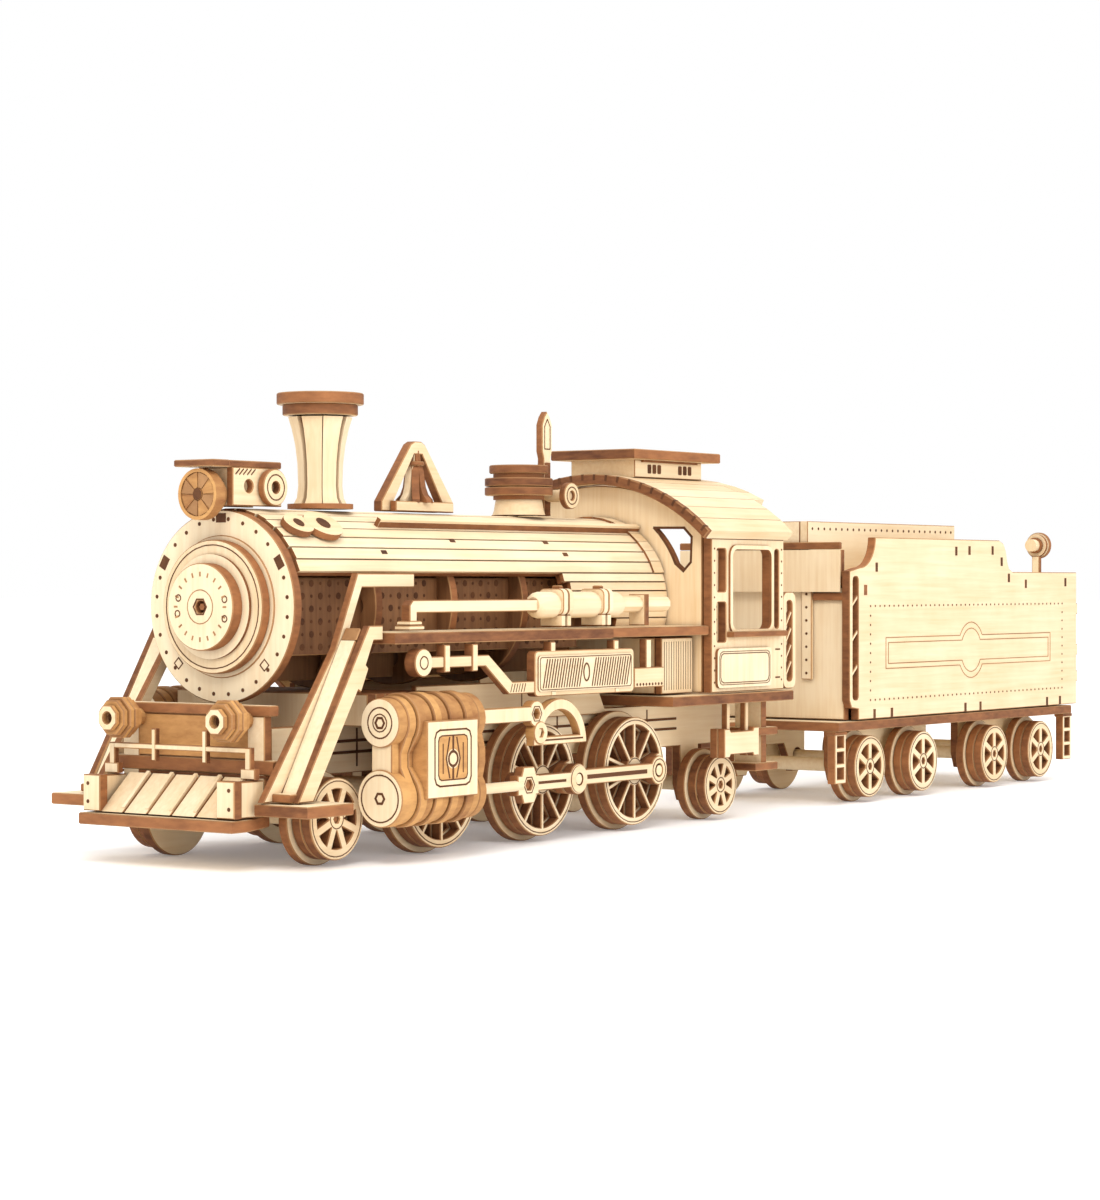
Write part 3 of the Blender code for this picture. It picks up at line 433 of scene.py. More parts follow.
def wheelset(node, spokes, width, face_y):
    """Laminated spoked wheels with their flange discs, hex hub pins and axle."""
    b = Box(node)
    centre = (b.s, b.z)
    flange_r = (b.z1 - b.z0) / 2
    radius = flange_r - 1.09
    hub = 0.24 * radius + 0.35
    rim = radius - (1.55 if spokes == 10 else 1.95)
    wood, ink = sheets(node)
    turn = 360 / spokes / 2
    for _, side in SIDES:
        openings = spoke_openings(centre, hub, rim, spokes, width, turn)
        hub_hole = circle(centre, 0.75, 6)
        wide = spoke_openings(centre, hub, rim - 0.4, spokes, width + 0.3, turn)
        solid = [] if spokes < 10 else wide
        wood.plate("y", circle(centre, flange_r, 56), face_y - 6.1, face_y - 4.15, solid, side)
        wood.plate("y", circle(centre, radius, 56), face_y - 4.05, face_y - 2.1, wide, side)
        wood.plate("y", circle(centre, radius - 0.03, 56), face_y - 2.0, face_y, [*openings, hub_hole], side)
        wood.turned("y", centre, [(face_y - 3, 0.62), (face_y - 0.35, 0.62)], 6, side, looks=BROWN)
        ink.ring("y", centre, radius - 0.62, 48, face_y, 0.16, side)
        ink.ring("y", centre, hub - 0.35, 24, face_y, 0.16, side)
    wood.turned("y", centre, [(-face_y + 2, 1.5), (face_y - 2, 1.5)], 16, looks=(EDGE, FACE))
    return wood, ink


def crank_pins(wood, centre, face_y, reach, collar_r=2.0):
    for _, side in SIDES:
        wood.turned("y", centre, [(face_y - 0.5, 1.0), (reach, 1.0)], 12, side, looks=PLY_LOOK)
        wood.turned("y", centre, [(face_y - 0.2, collar_r), (face_y + 0.12, collar_r)], 20, side)


def running_gear():
    face_y = Box("leading_wheelset").y1
    coupling = Box("coupling_rod_right")
    main = Box("main_rod_right")
    pin_z = coupling.z
    pin_3 = (coupling.s1 - 2.9, pin_z)
    pin_2 = (coupling.s0 + 2.9, pin_z)
    for node in ("leading_wheelset", "trailing_wheelset"):
        wood, ink = wheelset(node, 8, 1.5, face_y)
        finish_pair(wood, ink, node, "wheel_ply")
    for i in range(3):
        node = f"driver_wheelset_{i + 1}"
        wood, ink = wheelset(node, 10, 0.85, face_y)
        if i:
            crank_pins(wood, (pin_2, pin_3)[i - 1], face_y, (main.y1, coupling.y1)[i - 1])
        finish_pair(wood, ink, node, "wheel_ply")
    tender_face = Box("tender_wheelset_1").y1
    for i in range(4):
        node = f"tender_wheelset_{i + 1}"
        wood, ink = wheelset(node, 6, 1.55, tender_face)
        finish_pair(wood, ink, node, "wheel_ply")
    for label, side in SIDES:
        rods(label, side, pin_2, pin_3)


def rod_outline(a, b, half, eye_a, eye_b):
    """A flat rod's outline with a round eye at each end."""
    angle_a = math.degrees(math.asin(half / eye_a))
    angle_b = math.degrees(math.asin(half / eye_b))
    points = arc(a, eye_a, angle_a, 360 - angle_a, 20)
    return points + arc(b, eye_b, 180 + angle_b, 540 - angle_b, 20)


def rods(label, side, pin_2, pin_3):
    c = Box("coupling_rod_" + label)
    low, high = sorted((abs(c.y0), abs(c.y1)))
    hole = 1.25
    wood, ink = sheets(f"coupling_rod_{label}")
    wood.plate("y", rod_outline(pin_2, pin_3, 1.45, 2.85, 2.85), low, high,
               [circle(pin_2, hole, 16), circle(pin_3, hole, 16)], side)
    ink.line("y", [(pin_2[0] + 4.5, pin_2[1]), (pin_3[0] - 4.5, pin_3[1])], high, 0.8, side)
    ink.ring("y", pin_3, 2.2, 24, high, 0.16, side)
    finish_pair(wood, ink, f"coupling_rod_{label}", "pale_ply")
    m = Box("main_rod_" + label)
    low, high = sorted((abs(m.y0), abs(m.y1)))
    front = (m.s0 + 2.9, pin_2[1])
    wood, ink = sheets(f"main_rod_{label}")
    wood.plate("y", rod_outline(front, pin_2, 1.45, 2.2, 2.9), low, high,
               [circle(front, 1.2, 16), circle(pin_2, hole, 16)], side)
    wood.disc("y", pin_2, 2.5, high - 0.1, high + 0.2, 24, side, [circle(pin_2, hole, 16)])
    ink.line("y", [(front[0] + 3.4, front[1]), (pin_2[0] - 4.2, pin_2[1])], high, 0.5, side)
    finish_pair(wood, ink, f"main_rod_{label}", "pale_ply")
    x = Box("crosshead_" + label)
    y0, y1 = sorted((abs(x.y0), abs(x.y1)))
    s, z = x.s1 - 3.0, x.z
    wood, ink = sheets(f"crosshead_{label}")
    cross = mirrored([(s - 3.4, z - 1.8), (s - 2.2, z - 1.8), (s - 1.6, z - 3.3), (s + 1.6, z - 3.3),
                      (s + 2.2, z - 1.8), (s + 3.0, z - 1.8)], level=z)
    wood.plate("y", cross, y0, y1 - 0.4, [circle((s, z), 1.0, 6)], side)
    wood.turned("x", (y0 + 1.4, z), [(x.s0, 0.95), (s - 2, 0.95)], 16, side, looks=(EDGE, FACE))
    wood.turned("y", (s, z), [(y0 + 0.3, 0.8), (y1 - 0.8, 0.8)], 6, side, looks=BROWN)
    ink.ring("y", (s, z), 1.6, 6, y1 - 0.4, 0.2, side)
    finish_pair(wood, ink, f"crosshead_{label}", "pale_ply")


# ---- boiler ---------------------------------------------------------------------------------

def smokebox():
    r = Box("smokebox_ring")
    centre = (0, r.z)
    radius = r.z1 - r.z
    ring = Piece("smokebox_ring_ply")
    ink = Ink("smokebox_ring_marks")
    ring.disc("x", centre, radius, r.s0, r.s1, 72, holes=[circle(centre, 10.5, 40)])
    ring.disc("x", centre, 12.3, r.s0 - 0.26, r.s0 + 1.0, 56, holes=[circle(centre, 10.6, 40)])
    for i in range(28):
        ink.dot("x", polar(centre, 15.1, 360 * (i + 0.5) / 28), r.s0, 0.36, out=-1, steps=10)
    for angle in (30, 90, 150):
        a = math.radians(angle)
        tab = [(15.3 * math.cos(a + t) + d * math.cos(a), r.z + 15.3 * math.sin(a + t) + d * math.sin(a))
               for t, d in ((-0.075, -0.8), (0.075, -0.8), (0.075, 0.8), (-0.075, 0.8))]
        ink.plate("x", tab, r.s0 - INK_HEIGHT, r.s0, looks=BLACK, chamfer=0)
    for angle in (225, 315):
        ink.line("x", circle(polar(centre, 14.0, angle), 1.0, 4, angle + 45), r.s0, 0.2, closed=True, out=-1)
    finish_pair(ring, ink, LOCO, "pale_ply", FACE_Z)
    d = Box("smokebox_door")
    door = Piece("smokebox_door_ply")
    ink = Ink("smokebox_door_marks")
    door.disc("x", centre, 11.5, d.s1 - 2.0, d.s1, 64)
    front = d.s1 - 2.6
    door.disc("x", centre, 9.0, front, d.s1 - 1.9, 64)
    door.disc("x", centre, 7.5, d.s0, front + 0.1, 56, holes=[circle(centre, 1.1, 12)])
    for i in range(20):
        ink.line("x", [polar(centre, 5.3, 18 * i), polar(centre, 5.9, 18 * i)], d.s0, 0.3, out=-1,
                 look=SCORCH)
    for y, height in ((-5.6, 1.3), (-5.6, -2.0), (5.0, 1.5), (5.2, -1.2)):
        ink.ring("x", (y, r.z + height), 0.55, 12, d.s0, 0.2, out=-1)
    ink.ring("x", centre, 2.9, 32, d.s0, 0.15, out=-1, look=SCORCH)
    ink.ring("x", centre, 1.5, 6, d.s0, 0.25, out=-1)
    door.turned("x", centre, [(d.s0 + 0.5, 0.62), (d.s0 + 1.6, 0.62)], 6, looks=BROWN)
    ink.ring("x", centre, 10.6, 56, d.s1 - 2.0, 0.18, out=-1)
    finish_pair(door, ink, LOCO, "pale_ply", FACE_Z)


def cladding():
    """Narrow planks bent over the formers, with the curved notch in the lower ones."""
    b = Box("boiler_cladding")
    centre_z = b.z1 - (b.y1 - b.y0) / 2
    radius = b.y1
    wood = Piece("boiler_cladding_ply")
    step_s = b.s1 - 34.5
    skin_r = radius - 0.75
    edge_angle = math.degrees(math.asin((50.0 - centre_z) / radius))
    low_angle = math.degrees(math.asin((b.z0 + 0.3 - centre_z) / (radius - PLY)))

    def strip(a0, a1, s0, s1, outer, inner, looks=PLY_LOOK):
        wood.bent(centre_z, a0, a1, s0, s1, outer, inner, looks)

    for a0, a1 in shares(edge_angle, 180 - edge_angle, 36):
        strip(a0, a1, b.s0, b.s1, skin_r, radius - PLY, BROWN)
    planks = 17
    gap = 0.55
    for i, (a0, a1) in enumerate(shares(edge_angle, 180 - edge_angle, planks)):
        short = 0.0 if i in (0, planks - 1) else 0.35 * (i % 2)
        strip(a0 + gap, a1 - gap, b.s0 + short, b.s1, radius, skin_r - 0.1)
    low_planks = shares(low_angle, edge_angle, 6)
    for mirror in (False, True):
        for i, (a0, a1) in enumerate(low_planks):
            rise = (i + 0.5) / len(low_planks)
            start = step_s + 20.0 * (1 - rise) ** 1.6
            lo, hi = (180 - a1, 180 - a0) if mirror else (a0, a1)
            strip(lo, hi, start, b.s1, skin_r, radius - PLY, BROWN)
            strip(lo + 0.5, hi - 0.5, start - 0.4, b.s1, radius, skin_r - 0.1)
    for lo, hi in ((55.6, 58.6), (121.4, 124.4)):
        strip(lo, hi, b.s0 + 28.3, b.s1, radius + 1.6, radius - 0.1)
        strip(lo - 0.15, hi + 0.15, b.s0 + 28.4, b.s1, radius + 1.1, radius - 0.1, BROWN)
    for angle, s in ((44, 46), (44, 75), (34, 24), (34, 79), (66, 48), (66, 77)):
        for middle in (angle, 180 - angle):
            strip(middle - 1.3, middle + 1.3, b.s0 + s, b.s0 + s + 1.5, radius + 0.06, radius - 0.1, BLACK)
    for a0, a1 in shares(edge_angle, 180 - edge_angle, planks):
        strip(a0 + 0.15, a1 - 0.15, b.s1 - 3.6, b.s1 - 0.1, radius + 0.45, radius - 0.1)
    wood.finish(LOCO, "pale_ply", ("boiler_cladding",))
    formers()


def formers():
    b = Box("boiler_formers")
    z = b.z0 + (b.z1 - b.z0) / 2
    radius = b.y1
    wood, ink = sheets("boiler_formers")
    count = 6
    pitch = (b.s1 - b.s0 - PLY) / (count - 1)
    for i in range(count):
        s = b.s0 + pitch * i
        holes = [circle(polar((0, z), 9.6, a), 2.0, 14) for a in range(0, 360, 45)]
        outline = circle((0, z), radius, 56)
        if i >= count - 2:
            outline = arc((0, z), radius, -24, 204, 40)
            holes = [hole for hole in holes if min(p[1] for p in hole) > z - 4]
        wood.plate("x", outline, s, s + PLY, holes)
    wood.box(b.s0, b.s1, -1, 1, z - radius + 1.5, z + radius - 1.5, normal="y")
    wood.turned("x", (0, z), [(b.s0 + 1, 6.2), (b.s1 - 1, 6.2)], 20, looks=PLAIN)
    for _, side in SIDES:
        for k in range(4):
            s0 = b.s0 + pitch * k + 3.6
            wood.box(s0 - 1.4, s0 + pitch - 2.8, 9.8, 11.2, z - 8.4, z + 5.0, side=side, normal="y")
            for i in range(7):
                for j in range(6):
                    size = 0.62 if (i + j) % 2 else 0.3
                    ink.dot("y", (s0 + i * 2.4, z - 7.0 + j * 2.2), 11.2, size, side)
    # The formers' faces get the dark painted-shade wood.
    finish_pair(wood, ink, LOCO, "dark_ply", PAINTED_SHADE_FACE)


def chimney():
    c = Box("chimney")
    cap = Box("chimney_cap")
    s = c.s
    wood = Piece("chimney_ply")
    height = c.z1 - c.z0
    profile = [(0.0, 5.3), (0.05, 4.8), (0.12, 4.2), (0.25, 3.95), (0.5, 4.1), (0.7, 4.5), (0.87, 5.1),
               (1.0, 5.75)]
    core = [(c.z0 + t * height, r - 0.85) for t, r in profile]
    wood.turned("z", (s, 0), core, 24, looks=BROWN)
    staves = 8
    half = 19.4
    for k in range(staves):
        middle = 22.5 + 360 * k / staves + (-2.2 if k % 2 else 2.2)
        low, high = middle - half, middle + half
        rings = []
        for t, r in profile:
            corners = ((low, r), (high, r), (high, r - 1.3), (low, r - 1.3))
            rings.append([(*polar((s, 0), radius, angle), c.z0 + t * height) for angle, radius in corners])
        wood.prism(rings)
    wood.turned("z", (s, 0), [(c.z0, 5.9), (c.z0 + 0.9, 5.9)], 40)
    wood.finish(LOCO, "pale_ply", ("chimney",), FACE_Z)
    top = Piece("chimney_cap_ply")
    hole = [circle((s, 0), 3.5, 28)]
    radius = (cap.s1 - cap.s0) / 2
    middle = cap.z0 + 1.95
    top.disc("z", (s, 0), 6.75, cap.z0, middle, 56, holes=hole)
    top.disc("z", (s, 0), radius, middle, cap.z1, 64, holes=hole)
    # Painted shade: a black disc set down in the cap's bore, for the dark inside of the open chimney.
    top.turned("z", (s, 0), [(cap.z0 + 0.4, 3.4), (cap.z0 + 0.7, 3.4)], 24, looks=BLACK)
    ink = Ink("chimney_cap_marks")
    ink.ring("z", (s, 0), 6.6, 48, cap.z1 - INK_HEIGHT, 0.2)
    finish_pair(top, ink, LOCO, "edge_ply")


def headlamp():
    lamp = Box("headlamp")
    bracket = Box("headlamp_bracket")
    s0, s1, z = lamp.s0, lamp.s1, lamp.z
    wood = Piece("headlamp_ply")
    wood.turned("x", (0, z), [(s0 + 0.3, 4.4), (s1 - 2.2, 4.4), (s1, 3.0)], 40, looks=BROWN)
    wood.turned("x", (0, z), [(s0, 4.4), (s0 + 1.2, 4.4)], 40, bore=3.8, looks=BROWN)
    petals = 8
    for k in range(petals):
        a0, a1 = 360 * k / petals + 3, 360 * (k + 1) / petals - 3
        look = EDGE if k % 2 else SCORCH
        wood.bent(z, a0, a1, s0 + 0.15, s0 + 0.75, 3.8, 1.2, (look, look))
    wood.turned("x", (0, z), [(s0, 1.0), (s0 + 1.0, 1.0)], 16, looks=(DARK, EDGE))
    wood.finish(LOCO, "edge_ply", ("headlamp",), FACE_Z, CUT_LIGHT)
    frame_box = Piece("headlamp_bracket_ply")
    ink = Ink("headlamp_bracket_marks")
    roof = bracket.z1
    half = 4.5
    scallops = [(bracket.s0, -half), (bracket.s0 + 4, -half), (bracket.s0 + 5, -half + 0.7),
                (bracket.s1 - 1, -half + 0.7), (bracket.s1, -half + 1.6)]
    frame_box.plate("z", mirrored(scallops), roof - 1.2, roof)
    base = bracket.z0
    for _, side in SIDES:
        outline = [(s1 + 0.3, base), (s1 + 13, base), (s1 + 13, base + 4.6), (s1 + 10, roof - 1.2),
                   (s1 + 0.3, roof - 1.2)]
        frame_box.plate("y", outline, 2.5, 4.0, [circle((s1 + 4.4, base + 3.4), 1.1, 14)], side)
        glass = (s1 + 9.7, base + 3.3)
        frame_box.disc("y", glass, 3.2, 4.1, 5.5, 32, side, [circle(glass, 1.0, 14)])
        ink.ring("y", glass, 2.2, 24, 5.5, 0.2, side)
        for k in range(5):
            ink.line("y", [(s1 + 1.0 + k, base + 5.4), (s1 + 2.0 + k, roof - 1.5)], 4.0, 0.22, side)
    frame_box.box(s1 + 0.4, s1 + 2.2, -3.9, 3.9, base, roof - 1.2, normal="x")
    finish_pair(frame_box, ink, LOCO, "pale_ply")


def bell():
    b = Box("bell_and_yoke")
    s, top = b.s, b.z1
    base = b.z0
    wood = Piece("bell_and_yoke_ply")
    outer = mirrored([(b.s0, base), (b.s0, base + 1.8), (s - 2.2, top - 0.6), (s - 1.0, top)], axis=s)
    inner = mirrored([(s + 7.6, base), (s + 7.6, base + 1.2), (s + 1.2, top - 2.4)], axis=s)
    wood.plate("y", outer + inner, -1.0, 1.0)
    for _, side in SIDES:
        wood.box(s - 8.6, s + 8.6, 1.1, 2.6, base, base + 1.9, side, normal="y")
    profile = [(1.7, 3.5), (2.3, 3.4), (3.2, 2.6), (4.6, 2.1), (7.6, 1.7), (9.0, 1.0), (11.4, 0.8)]
    fins = 4
    for k in range(fins):
        a = math.pi * k / fins
        rings = []
        for height, width in profile:
            ring = []
            for u, v in ((-width, -0.7), (width, -0.7), (width, 0.7), (-width, 0.7)):
                ring.append((s + u * math.cos(a) - v * math.sin(a), u * math.sin(a) + v * math.cos(a),
                             base + height))
            rings.append(ring)
        wood.prism(rings, BROWN if k else PLY_LOOK)
    wood.disc("z", (s, 0), 1.9, base + 8.6, base + 9.4, 20)
    wood.finish(LOCO, "pale_ply", ("bell_and_yoke",))


def dome_and_valve():
    d = Box("steam_dome")
    s = d.s
    wood = Piece("steam_dome_ply")
    base = d.z0
    wood.turned("z", (s, 0), [(base, 5.2), (base + 0.9, 4.9), (base + 3.8, 4.4)], 40, looks=(EDGE, FACE))
    for low, high, r in ((3.8, 5.4, 6.65), (5.6, 7.2, 6.65), (8.1, 9.7, 5.8)):
        wood.disc("z", (s, 0), r, base + low, base + high, 56)
    wood.turned("z", (s, 0), [(base + 3, 5.0), (base + 9, 5.0)], 32, looks=BROWN)
    wood.finish(LOCO, "edge_ply", ("steam_dome",))
    v = Box("safety_valve")
    s, base, top = v.s, v.z0, v.z1
    wood, ink = sheets("safety_valve")
    half = 1.65
    stem = 1.15
    blade = [(s - stem, base), (s + stem, base), (s + stem, base + 11.3), (s + half, base + 12.7),
             (s + half, top - 2.6), (s + 0.9, top - 1.0), (s, top), (s - 0.9, top - 1.0),
             (s - half, top - 2.6), (s - half, base + 12.7), (s - stem, base + 11.3)]
    wood.plate("y", blade, -0.8, 0.8)
    wood.turned("z", (s, 0), [(base, 1.3), (base + 10.5, 1.3)], 8, looks=BROWN, turn=22.5)
    z = base + 3.9
    wood.turned("y", (s, z), [(-6.2, 1.2), (6.2, 1.2)], 20, looks=PLAIN)
    for _, side in SIDES:
        wood.disc("y", (s, z), 2.6, 5.4, 6.8, 32, side, [circle((s, z), 0.9, 14)])
        ink.ring("y", (s, z), 1.7, 20, 6.8, 0.2, side)
        ink.line("y", [(s - 0.9, base + 13.2), (s - 0.9, top - 2.9), (s, top - 1.5), (s + 0.9, top - 2.9),
                       (s + 0.9, base + 13.2)], 0.8, 0.2, side, closed=True)
    finish_pair(wood, ink, LOCO, "edge_ply", FACE_Z)


def smokebox_side_plates():
    """Oval pierced plates that lie on both shoulders of the smokebox."""
    b = Box("boiler_cladding")
    centre_z = b.z1 - b.y1
    tilt = math.radians(52)
    radius = b.y1 + 0.15

    def oval(s, r, stretch, low, high, steps, side):
        rings = []
        for reach in (radius + low, radius + high):
            ring = []
            for u, v in circle((0, 0), r, steps):
                y = reach * math.cos(tilt) - v * math.sin(tilt)
                z = centre_z + reach * math.sin(tilt) + v * math.cos(tilt)
                ring.append((s + stretch * u, side * y, z))
            rings.append(ring)
        return rings

    for label, side in SIDES:
        wood = Piece(f"smokebox_oval_{label}")
        for s, r in ((b.s0 + 5.0, 2.6), (b.s0 + 11.5, 3.4)):
            wood.prism(oval(s, r, 1.25, 0.0, 1.2, 24, side), (EDGE, FACE))
            wood.prism(oval(s, 0.42 * r, 1.0, 1.15, 1.3, 12, side), BLACK)
        wood.finish(LOCO, "pale_ply")


# ---- sides of the locomotive ----------------------------------------------------------------

def side_parts(label, side):
    running_board(label, side)
    air_tank(label, side)
    cooler(label, side)
    cylinder(label, side)
    front_brace(label, side)


def span_y(b):
    return sorted((abs(b.y0), abs(b.y1)))


def running_board(label, side):
    b = Box("running_board_" + label)
    y0, y1 = span_y(b)
    wood = Piece(f"running_board_{label}_ply")
    lap = b.s0 + 65.5
    wood.box(b.s0, lap, y0, y1, b.z0, b.z1, side)
    wood.box(lap + 0.1, b.s1, y0, y1 - 0.5, b.z0 + 0.15, b.z1, side)
    wood.finish(LOCO, "edge_ply", ("running_board_" + label,))


def air_tank(label, side):
    b = Box("air_tank_" + label)
    y = abs(b.y)
    z = b.z1 - 3.0
    end = b.s1 - 16
    start = end - 27.3
    wood = Piece(f"air_tank_{label}_ply")
    elbow = b.s0
    bar = [(elbow, b.z0 + 1.4), (elbow + 2.0, b.z0 + 1.4), (elbow + 2.0, z - 1.1), (start + 2, z - 1.1),
           (start + 2, z + 1.1), (elbow + 0.9, z + 1.1), (elbow, z + 0.2)]
    wood.plate("y", bar, y - 1.0, y + 1.0, side=side)
    wood.box(elbow - 0.9, elbow + 3.2, y - 1.6, y + 1.6, b.z0, b.z0 + 0.8, side, looks=PLAIN)
    wood.box(elbow - 0.5, elbow + 2.8, y - 1.4, y + 1.4, b.z0 + 0.85, b.z0 + 1.6, side, looks=PLAIN)
    tank = [(start, 1.5), (start + 0.7, 2.25), (start + 1.3, 2.45), (end - 1.6, 2.45), (end - 0.6, 2.2),
            (end, 1.5)]
    wood.turned("x", (y, z), tank, 14, side, looks=PLAIN, turn=13)
    for s in (start + 7.3, start + 20.3):
        for at in (s - 0.9, s + 0.9):
            clamp = rounded(y - 2.9, y + 2.9, b.z0 + 2.2, z + 3.0, 1.2)
            wood.plate("x", clamp, at - 0.8, at + 0.7, side=side, looks=PLAIN)
            wood.box(at - 0.7, at + 0.4, y - 2.4, y + 2.4, b.z0 + 0.1, b.z0 + 2.3, side, looks=PLAIN)
        wood.box(s - 0.2, s + 1.0, y - 0.8, y + 0.8, z + 2.4, z + 3.6, side)
    wood.turned("x", (y, z), [(end - 1, 1.55), (end + 16, 1.55)], 10, side, looks=PLAIN, turn=18)
    wood.box(end + 6.5, end + 8.0, y - 1.9, y + 1.9, b.z0, z + 1.9, side, normal="x")
    wood.finish(LOCO, "pale_ply", ("air_tank_" + label,))


def cooler(label, side):
    b = Box("cooler_" + label)
    y = abs(b.y)
    y0, y1 = y - 1, y + 1
    top = b.z1
    z = top - 3.0
    wood, ink = sheets(f"cooler_{label}")
    front = b.s0 + 2.5
    end = b.s1 - 10.5
    start = end - 31.9
    low = top - 9.9
    middle = (low + top - 1.6) / 2
    hub_s = end - 16
    face_y = y1 + 0.25
    panel = rounded(start, end, low, top - 1.6, 0.9, 3)
    wood.plate("y", panel, y0, y1, [circle((hub_s, middle), 0.8, 12)], side)
    raised = rounded(start + 0.8, end - 0.8, low + 0.9, top - 2.5, 0.7, 3)
    wood.plate("y", raised, y1 - 0.1, face_y, side=side)
    count = 34
    for i in range(count):
        s = start + 2.2 + (end - start - 5.0) * i / (count - 1)
        if abs(s + 0.5 - hub_s) >= 1.6:
            ink.line("y", [(s, low + 1.6), (s + 1.3, top - 3.2)], face_y, 0.26, side)
    border = rounded(start + 1.3, end - 1.3, low + 1.2, top - 2.8, 0.5, 2)
    ink.line("y", border, face_y, 0.14, side, closed=True)
    oval = [(hub_s + 0.9 * u, middle + 1.6 * v) for u, v in circle((0, 0), 1, 18)]
    ink.line("y", oval, face_y, 0.3, side, closed=True)
    pipe = [(front, z + 1), (front, z - 1), (front + 18.2, z - 1), (front + 25.2, z - 6.2),
            (start + 1, z - 6.2), (start + 1, z - 4.0), (front + 26.2, z - 4.0), (front + 19.2, z + 1)]
    wood.plate("y", pipe, y0 + 0.2, y1 - 0.2, side=side)
    wood.disc("y", (front, z), 2.45, y0 - 0.3, face_y, 28, side)
    ink.ring("y", (front, z), 1.1, 16, face_y, 0.22, side)
    for s in (front + 6, front + 14):
        wood.box(s, s + 1.6, y0 + 0.1, y1 + 0.1, z - 1.8, top, side, normal="y")
    for s in (start + 5, end - 6.5):
        wood.box(s, s + 1.6, y0 + 0.1, y1 + 0.1, low, low + 1.0, side, normal="y")
        wood.box(s, s + 1.6, y0 + 0.1, y1 - 0.1, top - 2.5, top, side, normal="y")
    box_top = top - 5.4
    wood.box(end + 0.3, end + 10.5, y0 - 1.2, y1 - 0.1, box_top - 3.8, box_top, side, normal="y")
    wood.box(end + 4.6, end + 6.4, y0, y1 - 0.3, box_top - 0.5, top, side, normal="y")
    for i in range(9):
        ink.dot("y", (end + 1.2 + i * 1.05, box_top - 3.2), y1 - 0.1, 0.3, side, steps=6)
    for i in range(6):
        s = front + 25.6 + i * 0.8
        ink.line("y", [(s, z - 5.8), (s + 0.5, z - 4.4)], y1 - 0.2, 0.18, side)
    finish_pair(wood, ink, LOCO, "pale_ply")


def barrel_outline(y, top, bottom, r_top, r_bottom, waist):
    """Rounded barrel section with a pinched waist between valve chest and cylinder."""
    middle = (top + bottom) / 2
    points = arc((y, top), r_top, -35, 215, 26)
    points += [(y - waist, middle + 1.2), (y - waist, middle - 1.2)]
    points += arc((y, bottom), r_bottom, 145, 395, 26)
    return points + [(y + waist, middle - 1.2), (y + waist, middle + 1.2)]


def cylinder(label, side):
    b = Box("cylinder_" + label)
    x = Box("crosshead_" + label)
    y0, outside = span_y(b)
    y = y0 + 5.2
    s0 = b.s0 + 2.4
    s1 = s0 + 21.7
    bottom = x.z
    top = b.z1 - 5.0
    middle = (top + bottom) / 2
    wood, ink = sheets(f"cylinder_{label}")
    count = 10
    pitch = (s1 - s0) / count
    for i in range(count):
        slim = 0.5 if i in (0, count - 1) else (0.0 if i % 2 else 0.42)
        waist = 2.6 if i < 2 else 4.9 - slim
        outline = barrel_outline(y, top, bottom, 5.0 - slim, 5.2 - slim, waist)
        bore = circle((y, bottom), 1.35, 14)
        wood.plate("x", outline, s0 + i * pitch, s0 + (i + 1) * pitch - 0.14, [bore], side, BROWN)
    c0, c1 = s0 + 3.2, s1 - 4.4
    z0, z1 = middle - 6.6, middle + 6.6
    wood.box(c0, c1, y + 2.5, outside, z0, z1, side, normal="y")
    wood.plate("y", rounded(c0 + 3.1, c1 - 3.1, z0 + 3.1, z1 - 2.7, 0.8, 2), outside - 0.2, outside + 0.03,
               (), side, looks=BROWN, chamfer=0)
    mid_s = (c0 + c1) / 2
    wood.disc("y", (mid_s, middle), 1.7, outside - 0.1, outside + 0.05, 24, side, chamfer=0)
    ink.line("y", rounded(c0 + 2.0, c1 - 2.0, z0 + 2.0, z1 - 1.6, 1.4, 2), outside, 0.3, side, closed=True)
    ink.line("y", rounded(c0 + 3.0, c1 - 3.0, z0 + 3.0, z1 - 2.6, 0.9, 2), outside, 0.22, side, closed=True)
    ink.line("y", [(mid_s, z0 + 3.2), (mid_s, middle - 1.6)], outside, 0.5, side)
    ink.line("y", [(mid_s, middle + 1.6), (mid_s, z1 - 2.8)], outside, 0.5, side)
    ink.ring("y", (mid_s, middle), 1.25, 20, outside, 0.45, side)
    for sign in (-1, 1):
        ink.line("y", [(mid_s + sign * 1.0, z0 + 3.4), (mid_s + sign * 1.9, middle),
                       (mid_s + sign * 1.0, z1 - 3.0)], outside, 0.35, side)
        ink.line("y", [(mid_s + sign * 2.8, z0 + 4.2), (mid_s + sign * 2.8, z1 - 4.0)], outside, 0.25, side)
    front = b.s0
    neck = rectangle(y - 2.2, y + 2.2, middle - 4, middle + 4)
    wood.plate("x", neck, front + 0.5, s0 + 0.2, side=side)
    for z, r, inner in ((top, 4.2, 2.6), (bottom, 4.9, 4.0)):
        wood.disc("x", (y, z), r, front + 0.05, s0 + 0.3, 48, side)
        ink.ring("x", (y, z), inner, 40, front + 0.05, 0.24, side, out=-1)
        ink.ring("x", (y, z), 0.95, 6, front + 0.05, 0.4, side, out=-1)
    ink.ring("x", (y, top), 1.5, 20, front + 0.05, 0.2, side, out=-1)
    valve_gear(wood, ink, label, side, s1, top)
    finish_pair(wood, ink, LOCO, "stack_ply", FACE_Z, CUT_LIGHT)


